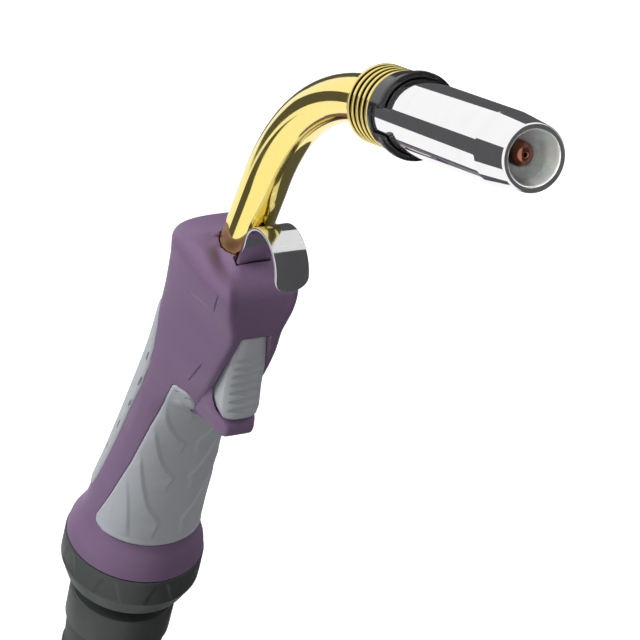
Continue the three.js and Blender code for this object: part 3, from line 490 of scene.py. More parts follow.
noseAxis = (0.87462, 0.0, 0.48481)
neckAxis = (0.17365, 0.0, 0.98481)
firstFin = np.array([61.284, 0.0, 106.749])
nosePoint = tuple(toMetres(firstFin))
finishes = {
    "shell_purple": mouldedPlastic("shellPurple", (0.175, 0.112, 0.205), (0.205, 0.122, 0.225),
                                   (0.30, 0.21, 0.34), (0.42, 0.56), parting=0.0012),
    "grip_rubber": mouldedPlastic("gripRubber", (0.44, 0.46, 0.49), (0.49, 0.51, 0.54), (0.58, 0.60, 0.62),
                                  (0.55, 0.70), grain=3600.0, bump=0.35, parting=0.0012),
    "trigger_grey": mouldedPlastic("triggerGrey", (0.44, 0.46, 0.49), (0.48, 0.50, 0.53), (0.60, 0.62, 0.65),
                                   (0.38, 0.52), grain=3000.0, bump=0.18),
    "ring_grey": mouldedPlastic("ringGrey", (0.036, 0.043, 0.041), (0.046, 0.053, 0.051), (0.10, 0.11, 0.105),
                                (0.42, 0.58), grain=2200.0, bump=0.3),
    "support_rubber": mouldedPlastic("supportRubber", (0.035, 0.040, 0.039), (0.048, 0.053, 0.050),
                                     (0.09, 0.095, 0.09), (0.55, 0.75), bump=0.4),
    "insulator_black": mouldedPlastic("insulatorBlack", (0.010, 0.010, 0.011), (0.016, 0.016, 0.018),
                                      (0.05, 0.05, 0.055), (0.10, 0.20), grain=1500.0, bump=0.04),
    "switch_black": mouldedPlastic("switchBlack", (0.018, 0.018, 0.020), (0.030, 0.030, 0.032),
                                   (0.08, 0.08, 0.08), (0.35, 0.5)),
    "button_red": mouldedPlastic("buttonRed", (0.35, 0.030, 0.022), (0.28, 0.022, 0.018), (0.5, 0.12, 0.1),
                                 (0.35, 0.5)),
    "sleeve_white": mouldedPlastic("sleeveWhite", (0.80, 0.78, 0.72), (0.70, 0.67, 0.60), (0.85, 0.83, 0.78),
                                   (0.4, 0.6)),
    "seal_rubber": mouldedPlastic("sealRubber", (0.015, 0.015, 0.015), (0.025, 0.025, 0.025),
                                  (0.05, 0.05, 0.05), (0.5, 0.7)),
    "nozzle_chrome": nozzleMetal("nozzleChrome", (0.94, 0.94, 0.95), (0.62, 0.62, 0.61), noseAxis, nosePoint),
    "tip_copper": turnedMetal("tipCopper", (0.74, 0.34, 0.22), (0.52, 0.20, 0.12), (0.06, 0.18), axis=noseAxis,
                              point=nosePoint, stain=(0.13, 0.05, 0.04)),
    "turned_brass": turnedMetal("turnedBrass", (0.72, 0.52, 0.22), (0.60, 0.42, 0.17), (0.22, 0.4),
                                axis=neckAxis, point=tuple(toMetres((0, 0, 0)))),
    # the third colour is painted shade for the collar's grooves
    "neck_gold": goldMetal("neckGold", (1.0, 0.84, 0.28), (0.98, 0.80, 0.23), (0.16, 0.085, 0.022), noseAxis,
                           nosePoint),
    "plain_steel": turnedMetal("plainSteel", (0.55, 0.56, 0.57), (0.45, 0.46, 0.47), (0.25, 0.42)),
    "hook_steel": turnedMetal("hookSteel", (0.74, 0.74, 0.75), (0.66, 0.66, 0.67), (0.07, 0.16),
                              axis=(0.0, 1.0, 0.0), bump=0.03),
}
slotOfNode = {row["node"]: row["material_slot"] for row in frame["record"]["subparts"]}
bodyOfNode = {name: body for body, members in frame["record"]["behaviour"]["bodies"].items() for name in members}


def dress(made, node):
    made.data.materials.clear()
    made.data.materials.append(finishes[slotOfNode[node]])


for name, node in nodes.items():
    dress(node, name)
print("finishes made:", len(finishes))


def finishPiece(made, node, angle=35):
    # the piece stands for the node: same body, same finish; edges sharper than the angle stay sharp
    made.data.shade_smooth()
    made.data.set_sharp_from_angle(angle=math.radians(angle))
    dress(made, node)
    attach(made, bodyOfNode[node])
    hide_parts(node)


# the neck: a straight run, an arc and a short straight end
neckShape = {"radius": 7.8, "wall": 0.9, "lean": 10.0, "straight": 31.3, "bendRadius": 106.1, "bendAngle": 51.0,
             "endStraight": 3.2, "start": -11.0, "pastFin": 7.9, "segments": 96, "step": 1.2, "lip": 0.2}
lean, bend = math.radians(neckShape["lean"]), math.radians(neckShape["bendAngle"])
startWay = np.array([math.sin(lean), 0, math.cos(lean)])
startSide = np.array([math.cos(lean), 0, -math.sin(lean)])
endWay = startWay * math.cos(bend) + startSide * math.sin(bend)
endSide = startSide * math.cos(bend) - startWay * math.sin(bend)
bendLength = neckShape["bendRadius"] * bend


def neckPoints(travel):
    # points of the path, with the side that points to the arc's centre
    s = np.asarray(travel, float)[:, None]
    radius = neckShape["bendRadius"]
    a = np.clip((s - neckShape["straight"]) / radius, 0, bend)
    way = startWay * np.cos(a) + startSide * np.sin(a)
    side = startSide * np.cos(a) - startWay * np.sin(a)
    first = np.minimum(s, neckShape["straight"]) * startWay
    arc = radius * (startSide * (1 - np.cos(a)) + startWay * np.sin(a))
    return first + arc + np.maximum(s - neckShape["straight"] - bendLength, 0) * way, side


def makeJacket(n):
    # rings square to the path, out along the outside and back along the bore
    start, end = n["start"], n["straight"] + bendLength + n["endStraight"] + n["pastFin"]
    centres, sides = neckPoints(np.linspace(start, end, int((end - start) / n["step"]) + 2))
    inward = np.zeros((len(centres), 1, 1))
    inward[[0, -1]] = n["lip"]
    out, back = (ringsAlong(centres, sides[:, None], yWay, size, n["segments"])
                 for size in (n["radius"] - inward, n["radius"] - n["wall"] + inward))
    return loopedSolid("neck_jacket_tube", np.concatenate([out, back[::-1]]))


finishPiece(makeJacket(neckShape), "neck_jacket")


def onAxis(side, way, foot):
    # a grid's x, y and height run along side, Y and way from the foot
    return lambda grid: grid[..., :1] * side + grid[..., 1:2] * yWay + grid[..., 2:] * way + foot


atFin = onAxis(endSide, endWay, firstFin)

# collar with cooling fins, as radius and travel along the nose, and the radius and depth of the painted shade in its
# grooves
collar = {"finRadius": 12.9, "rootRadius": 10.6, "count": 5, "pitch": 3.1, "thickness": 1.45, "start": 0.2,
          "tail": 14.2, "wideBore": 8.1, "narrowBore": 7.1, "step": 8.3, "round": 0.7, "paintedShadeFrom": 12.82,
          "paintedShadeDepth": 0.3, "segments": 120}


def makeCollar(c):
    # discs on a tube; the crevice value, which darkens the grooves with painted shade, is the depth below the fins'
    # rims over the painted shade's depth
    outline = [(c["wideBore"], c["start"])]
    for i in range(c["count"]):
        z = c["start"] + c["pitch"] * i
        last = i == c["count"] - 1
        outline += [(c["finRadius"], z), (c["finRadius"], c["tail"] if last else z + c["thickness"])]
        if not last:
            outline += [(c["rootRadius"], z + c["thickness"]), (c["rootRadius"], z + c["pitch"])]
    outline += [(c["narrowBore"], c["tail"]), (c["narrowBore"], c["step"]), (c["wideBore"], c["step"])]
    grid = turnedPoints(roundedCorners(outline, c["round"], 5), c["segments"])
    made = loopedSolid("collar_fins", atFin(grid))
    depth = (c["paintedShadeFrom"] - np.hypot(grid[..., 0], grid[..., 1])) / c["paintedShadeDepth"]
    crevice = made.data.attributes.new("crevice", "FLOAT", "POINT")
    crevice.data.foreach_set("value", np.clip(depth, 0, 1).astype(np.float32).ravel())
    return made


finishPiece(makeCollar(collar), "neck_collar")

# turned pieces have a closed profile of radius and travel along their axis
nozzle = {"profile": [(12.0, 16.1), (12.0, 82.9), (11.7, 86.9), (10.75, 98.6), (10.3, 99.0), (8.9, 99.0),
                      (8.6, 98.5), (8.6, 91.0), (10.4, 76.9), (10.4, 16.1)],
          "rounding": 0.45, "segments": 160, "steps": 5}
finishPiece(turnedSolid("nozzle_barrel", atFin, **nozzle), "gas_nozzle", 50)

# insulator with its notched lip; each notch is cut from the skirt's bore to outside the lip
insulator = {"stem": 7.0, "radius": 12.9, "lip": 14.1, "start": 14.5, "base": 15.8, "lipStart": 21.4,
             "lipEnd": 24.2, "skirtBore": 12.3, "sleeve": 10.1, "sleeveEnd": 38.0, "inner": 8.2,
             "groove": (30.0, 32.4, 9.0), "step": 22.5, "bevel": 0.4, "notchHalf": 4.4, "notchFlare": 0.2,
             "notchTurn": -88, "notchOver": 2, "notchPast": 18.0, "notchInto": 0.15, "notchRound": 0.7,
             "round": 0.35, "segments": 144}


def makeInsulator(i):
    # a turned skirt and sleeve; two opposite prisms, square to the axis, take the notches out of the skirt
    grooveStart, grooveEnd, grooveRadius = i["groove"]
    body = turnedSolid("insulator_lip", atFin, [
        (i["stem"], i["start"]), (i["radius"], i["start"]), (i["radius"], i["lipStart"]),
        (i["lip"], i["lipStart"] + i["bevel"]), (i["lip"], i["lipEnd"]), (i["skirtBore"], i["lipEnd"]),
        (i["skirtBore"], i["base"]), (i["sleeve"], i["base"]), (i["sleeve"], grooveStart),
        (grooveRadius, grooveStart), (grooveRadius, grooveEnd), (i["sleeve"], grooveEnd),
        (i["sleeve"], i["sleeveEnd"]), (i["inner"], i["sleeveEnd"]), (i["inner"], i["step"]),
        (i["stem"], i["step"])], i["round"], i["segments"])
    half, past = i["notchHalf"], i["lipEnd"] + i["notchOver"]
    wider = half + i["notchFlare"]
    along, wide = roundedCorners([(i["base"], -half), (past, -wider), (past, wider), (i["base"], half)],
                                 i["notchRound"]).T[:, :, None]
    for turn in (0, 180):
        a = math.radians(i["notchTurn"] + turn)
        side = endSide * math.cos(a) + yWay * math.sin(a)
        flat = firstFin + np.cross(endWay, side) * wide + endWay * along
        near = np.sqrt((i["skirtBore"] - i["notchInto"]) ** 2 - wide ** 2)
        cutBy(body, loftedSolid("notch", np.stack([flat + side * near, flat + side * i["notchPast"]])))
    return body


finishPiece(makeInsulator(insulator), "nozzle_insulator")

tipShape = {"profile": [(0.6, 50.4), (2.6, 50.4), (2.6, 59.0), (4.0, 59.0), (4.0, 90.4), (3.5, 92.2),
                        (2.3, 93.4), (0.95, 93.7), (0.6, 93.3)],
            "rounding": 0.6, "segments": 72}
finishPiece(turnedSolid("contact_tip_turned", atFin, **tipShape), "contact_tip")
print("front end built")

ringAxis = np.array([-25.6, 0.0, -155.8])
atBell = onAxis(xWay, zWay, ringAxis)
# radii and heights; a panel's half widths are shares of its pitch, at its top and foot
lockRing = {"radius": 24.5, "bore": 21.5, "foot": 21.3, "lipBore": 20.3, "top": -0.3, "shoulder": -10.6,
            "end": -17.8, "ledge": -13.6, "panels": 8, "panelDepth": 0.55, "panelTop": -2.2, "panelFoot": -10.4,
            "narrow": 0.12, "wide": 0.27, "turn": 0.48, "edge": 0.04, "topEdge": 0.35, "skin": 1.2,
            "segments": 288, "step": 0.5, "round": 0.5}


def softStep(x):
    # from 0 to 1 as half the hyperbolic tangent of 2x, plus a half
    return 0.5 + 0.5 * np.tanh(2 * x)


def makeLockRing(r):
    # a turned profile whose outside sinks in panels: the sink is a product of soft steps round and along the ring
    corners = [(r["bore"], r["top"]), (r["radius"], r["top"]), (r["radius"], r["shoulder"]), (r["foot"], r["end"]),
               (r["lipBore"], r["end"]), (r["lipBore"], r["ledge"]), (r["bore"], r["ledge"])]
    profile = roundedCorners(corners, r["round"])
    gap = np.roll(profile, -1, 0) - profile
    count = np.maximum(1, (np.linalg.norm(gap, axis=1) / r["step"]).astype(int))
    start = np.repeat(np.arange(len(profile)), count)
    share = (np.arange(count.sum()) - np.repeat(np.cumsum(count) - count, count)) / np.repeat(count, count)
    grid = turnedPoints(profile[start] + gap[start] * share[:, None], r["segments"])
    phase = (np.arctan2(grid[..., 1], grid[..., 0]) / (2 * math.pi) * r["panels"] + r["turn"]) % 1 - 0.5
    z, top, foot = grid[..., 2], r["panelTop"], r["panelFoot"]
    half = r["wide"] + (r["narrow"] - r["wide"]) * np.clip((z - foot) / (top - foot), 0, 1)
    sink = softStep((half - np.abs(phase)) / r["edge"])
    sink = sink * softStep((top - z) / r["topEdge"]) * softStep((z - foot) / r["topEdge"])
    radius = np.hypot(grid[..., 0], grid[..., 1])
    sink = sink * r["panelDepth"] * (radius > r["bore"] + r["skin"])
    grid[..., :2] *= ((radius - sink) / radius)[..., None]
    return loopedSolid("locking_ring_panels", atBell(grid))


finishPiece(makeLockRing(lockRing), "locking_ring")

ball = {"radius": 16.4, "centre": -12.2, "top": 11.2, "foot": -9.2, "points": 16, "cable": 10.6, "end": -49.2,
        "skirt": [(13.3, -22.8), (13.9, -24.4), (18.2, -24.6), (18.7, -25.4), (18.5, -38.6), (14.4, -38.6)],
        "round": 0.5, "segments": 128}


def knuckleCorners(b):
    # the sphere's radius is sqrt(r^2 - z^2) from top to foot; the skirt and the neck in the support follow
    z = np.linspace(b["top"], b["foot"], b["points"])
    sphere = np.stack([np.sqrt(b["radius"] ** 2 - z ** 2), z + b["centre"]], -1)
    return np.concatenate([sphere, b["skirt"], [(b["skirt"][-1][0], b["end"]), (b["cable"], b["end"]),
                                                (b["cable"], b["centre"] + b["top"])]])


finishPiece(turnedSolid("knuckle_ball", atBell, knuckleCorners(ball), ball["round"], ball["segments"]),
            "swivel_knuckle")

support = {"profile": [(14.7, -38.9), (17.7, -38.9), (17.3, -44.2), (16.7, -51.8), (17.4, -52.8), (17.2, -56.2),
                       (16.2, -57.0), (16.0, -59.8), (16.8, -60.6), (16.6, -63.8), (15.6, -64.6), (15.4, -68.2),
                       (10.6, -68.2), (10.6, -49.5), (14.7, -49.5)],
           "rounding": 0.6, "segments": 112}
finishPiece(turnedSolid("cable_support_sleeve", atBell, **support), "cable_support")
print("rear end built")

# each row: height, front, back, half width, roundness, middle, and half width and share of the wedge shaped front
handle = {
    "body": [
        (-155.8, -1.5, -49.7, 24.1, 2, -25.6), (-152.6, -1.9, -49.3, 23.7, 2, -25.6),
        (-148.6, -3, -47.4, 22.1, 2.05, -25), (-143.4, -5.4, -45.2, 20.2, 2.1, -24.4),
        (-135, -5.8, -43.7, 19, 2.2, -23.2), (-118, -5.2, -40.2, 18, 2.15, -20.4),
        (-90, -3.4, -34, 17.4, 2.15, -16), (-73, 1.8, -29.9, 17.5, 2.15, -13.2, 3, 0.3),
        (-66, 7.6, -28.2, 17.6, 2.15, -12, 7.6, 0.8), (-59, 11, -26.6, 17.7, 2.15, -11, 9.0, 0.9),
        (-49, 15.2, -24.4, 17.9, 2.2, -10, 10.2, 1), (-36, 19.1, -22.5, 18.2, 2.25, -9, 10.0, 1),
        (-25.5, 21.4, -21.7, 18.5, 2.3, -8.4, 9.2, 1), (-14, 21.9, -21.8, 18.8, 2.5, -8, 11.8, 1),
        (-7.8, 21.1, -22.6, 19, 2.7, -8, 12.6, 1), (-4.8, 19.2, -19.4, 18.2, 2.7, -7, 11.8, 1),
        (-2.4, 15.8, -14.6, 16.4, 2.5, -5, 10, 0.9), (-0.3, 10.6, -9.8, 13.6, 2.3, -1, 7, 0.6),
        (1.7, 5, -5.6, 10.6, 2.2, 0)],
    "frame": [
        (-75.6, -1, -10, 4.2, 3, -4), (-73.4, 3.4, -10, 6, 3, -2), (-70.8, 7.8, -10, 7.2, 3, 0, 4.6, 1),
        (-68.2, 12.4, -10, 7.9, 4, 2, 5.2, 1), (-66.6, 18, -10, 8.4, 5, 4, 5.2, 1),
        (-65.2, 24, -10, 8.7, 5, 4, 5.2, 1), (-62.6, 24.9, -10, 8.8, 6, 4, 5.3, 1),
        (-60.4, 24.2, -10, 8.9, 6, 4, 5.6, 1), (-58, 18.4, -10, 8.9, 6, 5), (-55, 16.8, -10, 8.9, 6, 4),
        (-49, 15.4, -10, 8.9, 6, 4), (-36, 19, -10, 8.7, 6, 5), (-26, 21, -10, 8.5, 6, 6),
        (-22, 21.2, -10, 8.5, 6, 6)],
    "corner": 1 / 3, "flare": 1.7, "flatGrow": 0.8, "columns": (12, 34, 38), "shellStep": 0.7,
    "innerColumns": (6, 14, 16), "innerStep": 2.4, "frameColumns": (8, 16, 10), "frameStep": 1.2,
    "scoop": {"depth": 4.0, "half": 15.4, "wall": 6.6, "from": -8.5, "run": 8.0, "foot": -21.0, "rise": 14.0,
              "overFoot": 0.36, "footHalf": 5.2, "footEdge": 4.4, "sideEnd": 18.0, "sideRun": 12.0,
              "way": (-0.62, 0.0, -0.78)},
    "wall": 2.0, "backing": 1.2, "drop": 2.0, "dropRun": 12, "split": 0.005, "seam": 1.3, "pocket": 1.7,
    "gripProud": 0.6, "gripDeep": 1.4, "past": 30, "halfBox": ((-90, 90), 60, (-260, 60))}
gripShape = {
    "front": [(0.7, -59.6), (-1.6, -66), (-4.7, -74), (-7.7, -85), (-12.5, -107), (-18, -126), (-20.6, -134),
              (-22.2, -138.6), (-21.4, -140.8), (-18, -141.8), (8, -142.6), (30, -142.6), (30, -76.4),
              (3.2, -75.8), (6.2, -70.4), (7.8, -64.2), (7, -60.8), (5.4, -59.8)],
    "rear": [(-14.6, -38.6), (-12.2, -44), (-11.6, -53), (-12.2, -62), (-15, -75), (-19.6, -89), (-23.2, -104),
             (-26.6, -116), (-30, -128), (-32.6, -134.8), (-60, -134.8), (-60, -38), (-17, -37.2)],
    "rows": {"front": (-144.5, -57.5), "rear": (-137.5, -34.5)},
    "columns": {"front": (26, 50, 12), "rear": (6, 24, 70)},
    "step": 0.5, "round": 1.6, "edge": 1.3, "sunk": 0.9, "ribSunk": 0.25, "ribEdge": (0.4, 1.6), "frameGap": 0.12}


def monotone(x, y, at):
    # cubic through every row of y; an inner slope is the harmonic mean of its neighbours, or zero at a turn
    run = np.diff(x)
    rise = np.diff(y, axis=0) / run[:, None]
    before, after = rise[:-1], rise[1:]
    heavy, light = (2 * run[1:] + run[:-1])[:, None], (run[1:] + 2 * run[:-1])[:, None]
    same = before * after > 0
    inner = np.where(same, (heavy + light) / (heavy / np.where(same, before, 1)
                                              + light / np.where(same, after, 1)), 0)
    slope = np.concatenate([rise[:1], inner, rise[-1:]])
    i = np.clip(np.searchsorted(x, at, side="right") - 1, 0, len(run) - 1)
    u, width = ((at - x[i]) / run[i])[:, None], run[i][:, None]
    return ((1 + 2 * u) * (1 - u) ** 2 * y[i] + u * (1 - u) ** 2 * width * slope[i]
            + u ** 2 * (3 - 2 * u) * y[i + 1] + u ** 2 * (u - 1) * width * slope[i + 1])


def quarterTurns(flat, flank, back):
    # places round a section in quarter turns: the flat front, the flank, the back, then the mirrored side
    corner = handle["corner"]
    turn = np.concatenate([np.linspace(0, corner, flat, endpoint=False),
                           np.linspace(corner, 1, flank, endpoint=False), np.linspace(1, 2, back + 1)])
    return np.concatenate([turn, -turn[-2:0:-1]])


def sectionRings(sections, grow, turn):
    # superellipse x = middle + reach cos^(2/n), y = half sin^(2/n), blended at the front with a flat
    # and two flanks bowed as 1 - (1 - v)^flare
    table = np.array([[*row, 0, 0][:8] for row in sections], float)
    z, front, back, half, power, middle, flat, wedge = table.T[:, :, None]
    c, s = np.cos(turn[None] * math.pi / 2), np.sin(turn[None] * math.pi / 2)
    front, half, flat = front + grow, half + grow, flat + handle["flatGrow"] * grow
    x = middle + np.where(c > 0, front - middle, middle - back + grow) * np.sign(c) * np.abs(c) ** (2 / power)
    y = half * np.sign(s) * np.abs(s) ** (2 / power)
    t, corner = np.abs(turn)[None], handle["corner"]
    v = np.clip((t - corner) / (1 - corner), 0, 1)
    wedgeX = front - (front - middle) * v
    wedgeY = np.where(t < corner, flat * t / corner, flat + (half - flat) * (1 - (1 - v) ** handle["flare"]))
    share = wedge * (t < 1)
    rings = np.stack([x + (wedgeX - x) * share, y + (wedgeY * np.sign(turn) - y) * share, z + 0 * x], -1)
    for _ in range(2):
        rings = 0.5 * rings + 0.25 * (np.roll(rings, 1, 1) + np.roll(rings, -1, 1))
    return rings


def skinGrid(sections, grow, columns, step, rows=None, drop=0.0):
    # the sections, grown and joined along the handle at equal steps of travel; drop lowers the top end
    rings, plain = (sectionRings(sections, g, quarterTurns(*columns)) for g in (grow, 0.0))
    gaps = np.linalg.norm(np.diff(plain, axis=0), axis=2).mean(1)
    travel = np.concatenate([[0], np.cumsum(gaps)])
    first, last = (0, travel[-1]) if rows is None else np.interp(rows, plain[:, 0, 2], travel)
    at = np.linspace(first, last, int((last - first) / step) + 2)
    grid = monotone(travel, rings.reshape(len(rings), -1), at).reshape(len(at), -1, 3)
    grid[..., 2] -= drop * np.clip(grid[..., 2] / handle["dropRun"] + 1, 0, 1)
    return grid


def easedStep(x):
    # from 0 to 1 as 3x^2 - 2x^3
    x = np.clip(x, 0, 1)
    return x * x * (3 - 2 * x)


def scooped(grid, s):
    # the dome dips round the neck: depth * eased steps across, along and up, with less over the hook's foot
    x, y, z = np.moveaxis(grid, -1, 0)
    dip = easedStep((s["half"] - np.abs(y)) / s["wall"]) * easedStep((x - s["from"]) / s["run"])
    over = easedStep((np.abs(y) - s["footHalf"]) / s["footEdge"])
    dip = dip * (s["overFoot"] + (1 - s["overFoot"]) * over * easedStep((s["sideEnd"] - x) / s["sideRun"]))
    dip = s["depth"] * dip * easedStep((z - s["foot"]) / s["rise"])
    return grid + dip[..., None] * np.array(s["way"])


def innerSkin(inset, drop=0.0):
    # the handle's body, smaller by the inset, which hollows out what it is taken from
    grid = skinGrid(handle["body"], -inset, handle["innerColumns"], handle["innerStep"], drop=drop)
    return loftedSolid("inner_skin", scooped(grid, handle["scoop"]))


def frameSolid(grow=0.0):
    grid = skinGrid(handle["frame"], grow, handle["frameColumns"], handle["frameStep"])
    return loftedSolid("trigger_frame", grid)


def grownOutline(outline, amount, limit=0.6):
    # each point moves out along the mean of its two edges' normals, no further at a sharp corner than the limit lets
    p = np.asarray(outline, float)
    edge = np.roll(p, -1, 0) - p
    area = 0.5 * np.sum(p[:, 0] * np.roll(p[:, 1], -1) - p[:, 1] * np.roll(p[:, 0], -1))
    normal = unit(np.stack([edge[:, 1], -edge[:, 0]], -1)) * np.sign(area)
    both = normal + np.roll(normal, 1, 0)
    return p + both * (2 * amount / np.maximum(np.sum(both ** 2, 1), limit))[:, None]


gripOutline = {side: roundedCorners(gripShape[side], gripShape["round"]) for side in ("front", "rear")}


def fromSegments(p, a, along):
    # for each point and segment: how far along it the nearest place is, and the way from there to the point
    t = np.clip(np.sum((p - a) * along, -1) / np.maximum(np.sum(along ** 2, -1), 1e-9), 0, 1)
    return t, p - a - along * t[..., None]


def edgeDepth(points, outline):
    # distance from the outline in side view, positive inside it
    p, a = points[:, None], outline[None]
    b = np.roll(a, -1, 1)
    along = b - a
    distance = np.linalg.norm(fromSegments(p, a, along)[1], axis=-1).min(1)
    crosses = (a[..., 1] > p[..., 1]) != (b[..., 1] > p[..., 1])
    slope = (p[..., 1] - a[..., 1]) / np.where(crosses, b[..., 1] - a[..., 1], 1)
    inside = np.sum(crosses & (p[..., 0] < a[..., 0] + slope * along[..., 0]), 1) % 2 == 1
    return np.where(inside, distance, -distance)


# openings of the shells: the rivet's ways are low, high and radius, a screw's row is x, z and the skin's half width
shellCuts = {
    "slot": [(5.3, -24.6), (7.4, -40), (7.4, -54), (6.2, -58.6)], "slotRound": 0.8, "slotReach": (-1, 40),
    "neckBore": 8.1, "neckSpan": (-13, 12), "hookPocket": ((6.2, 17.3), (-6.4, 6.4), (-8.5, -6.7)),
    "hookCut": [(6.2, -8.5), (8.558, -8.5), (12.014, 12), (6.2, 12)], "hookHalf": 6.4,
    "rivetX": 13.6, "rivetWays": [(-12.2, -10.2, 2.6), (-6.7, -5.75, 2.6), (-11, -6, 1.7)],
    "pin": (14.6, -28.2, 1.8, 8.3),
    "screws": [(-15.4, -14.2, 17), (15.8, -16.4, 12), (14.0, -62.1, 5.7), (-37.2, -141.5, 15.4)],
    "screwRadius": 2.9, "screwSunk": 2.6, "spigotRadius": 21.3, "spigotSpan": (-166, -150),
    "creases": [[(1.2, -18.4, -17.0), (7.9, -16.4, -16.4), (14.1, -13.2, -16.8)],
                [(14.3, -13.2, -16.6), (15.0, -13.4, -12), (15.5, -13.6, -7.5)],
                [(12.2, -11.6, -40.7), (9.6, -12, -47), (6.9, -12.4, -53.1)]],
    "creaseRadius": 0.42, "creaseTaper": 2.5}


def onSkin(points, grid):
    # each point drops onto the tangent plane of its nearest grid point
    flat = grid.reshape(-1, 3)
    normal = np.cross(np.gradient(grid, axis=0), np.roll(grid, -1, 1) - np.roll(grid, 1, 1)).reshape(-1, 3)
    near = np.linalg.norm(flat[None] - points[:, None], axis=2).argmin(1)
    normal = unit(normal[near])
    return points - normal * np.sum((points - flat[near]) * normal, 1)[:, None]


def creaseTube(line, grid, radius, taper):
    # a thin tube that narrows at both ends, along the line on the skin
    travel = travelled(line)
    at = np.linspace(0, travel[-1], 24)
    path = onSkin(np.stack([np.interp(at, travel, line[:, i]) for i in range(3)], -1), grid)
    way = unit(np.gradient(path, axis=0))
    side = unit(np.cross(way, [0.31, 0.2, 0.93]))
    size = radius * np.clip(np.minimum(at, travel[-1] - at) / taper, 0.2, 1)[:, None, None]
    return loftedSolid("crease", ringsAlong(path, side[:, None], np.cross(way, side)[:, None], size, 14))


def shellCutter(cuts):
    # every small opening in one solid
    outline = cuts["slot"] + [(-y, z) for y, z in cuts["slot"][::-1]]
    slot = grownOutline(roundedCorners(outline, cuts["slotRound"], 3), clear)
    whole = prism("openings", slot, *cuts["slotReach"], axis=0)
    low, high = cuts["neckSpan"]
    x, z, radius, half = cuts["pin"]
    parts = [rod("bore", startWay * low, startWay * high, cuts["neckBore"], 96),
             box("pocket", *cuts["hookPocket"]),
             prism("hook_cut", cuts["hookCut"], -cuts["hookHalf"], cuts["hookHalf"]),
             *(rod("rivet_way", (cuts["rivetX"], 0, a), (cuts["rivetX"], 0, b), r) for a, b, r in cuts["rivetWays"]),
             rod("pin_hole", (x, -half, z), (x, half, z), radius),
             *(rod("screw_recess", (x, face - cuts["screwSunk"], z), (x, handle["past"], z), cuts["screwRadius"])
               for x, z, face in cuts["screws"])]
    for part in parts:
        combined(whole, part, "UNION")
    return whole


def sidePrism(name, outline):
    return prism(name, outline, -handle["past"], handle["past"])


def halfSpace(right):
    # everything on one side of the middle plane, less half the parting gap
    split = handle["split"]
    x, y, z = handle["halfBox"]
    return box("half", x, (-y, -split) if right else (split, y), z)


def makeShells(cuts):
    # the skin and the trigger's frame less the hollow, grip pockets, openings and creases, halved at the parting;
    # each half takes in what lies inside its CAD shell
    skin = scooped(skinGrid(handle["body"], 0.0, handle["columns"], handle["shellStep"]), handle["scoop"])
    layer = loftedSolid("handle_skin", skin)
    combined(layer, frameSolid(), "UNION")
    cutBy(layer, innerSkin(handle["wall"], handle["drop"]))
    for outline in gripOutline.values():
        pocket = sidePrism("grip_pocket", grownOutline(outline, clear))
        cutBy(layer, cutBy(cutBy(pocket, innerSkin(handle["pocket"])), frameSolid()))
    cutBy(layer, shellCutter(cuts))
    for line in cuts["creases"]:
        for flip in (1, -1):
            cutBy(layer, creaseTube(np.array(line) * [1, flip, 1], skin, cuts["creaseRadius"], cuts["creaseTaper"]))
    keep = innerSkin(handle["backing"], handle["drop"])
    low, high = ((*ringAxis[:2], z) for z in cuts["spigotSpan"])
    combined(keep, rod("spigot", low, high, cuts["spigotRadius"], 96), "UNION")
    for right, side in ((True, "right"), (False, "left")):
        node = "handle_shell_" + side
        half = combined(copied(layer, "shell_" + side), halfSpace(right), "INTERSECT")
        combined(half, combined(nodeCopy(node, "shell_inside"), keep, "INTERSECT", keep=True), "UNION")
        softenedEdges(half, seam=handle["seam"])
        finishPiece(half, node, 38)
        sharpParting(half, 4 * handle["split"])
    bpy.data.objects.remove(layer)
    bpy.data.objects.remove(keep)


makeShells(shellCuts)
print("shells built")

# rib lines on the front grip as distance from the middle and height; each leaf stands on its line's outer side
ribs = {
    "lines": [
        [(12.0, -65.7), (8.6, -70.1), (3.8, -76.2), (3.5, -81.2)],
        [(12.5, -73.7), (11.2, -79.0), (8.1, -85.8), (5.1, -90.0), (2.5, -93.0), (2.6, -94.5), (3.5, -98.7)],
        [(13.2, -85.5), (11.4, -92.7), (9.0, -100.3), (5.9, -106.0), (3.0, -109.8), (3.9, -111.4), (4.6, -117.0)],
        [(14.5, -100.2), (12.8, -109.9), (11.0, -117.6), (8.5, -124.6), (4.4, -131.5), (4.8, -133.9),
         (5.7, -139.3)],
        [(16.2, -112.5), (14.5, -123.9), (12.8, -139.0)],
        [(17.5, -124.9), (17.4, -132.5), (16.9, -138.5)]],
    "height": [0.65, 0.8, 0.8, 0.8, 0.6, 0.35], "fade": 3.6, "step": 0.36, "taper": 5.0, "blunt": 0.7, "near": 12,
    "points": 40}
# slits by their two ends; the grip's middle line lies at middleX at the middle height, and leans by its slope
slits = {
    "front": [((2.1, -13.9, -61.9), (3.9, -13.0, -61.5)), ((5.3, -11.6, -62.6), (6.9, -10.4, -62.3))],
    "rear": [((-14.4, -17.9, -61.5), (-13.4, -18, -57.1)), ((-16.2, -17.8, -74.3), (-14.5, -17.9, -69.2)),
             ((-20, -17.5, -87.2), (-18.8, -17.6, -83.4)), ((-24.7, -17.1, -101), (-23.8, -17.1, -97)),
             ((-29.6, -16.6, -115.6), (-29.5, -16.4, -112.7)), ((-36.5, -14.5, -128.2), (-34.9, -14.8, -123.9))],
    "half": 0.5, "deep": 1.15, "lift": 0.5, "past": 0.3, "middleX": -16, "middleHeight": -80, "slope": 0.13}


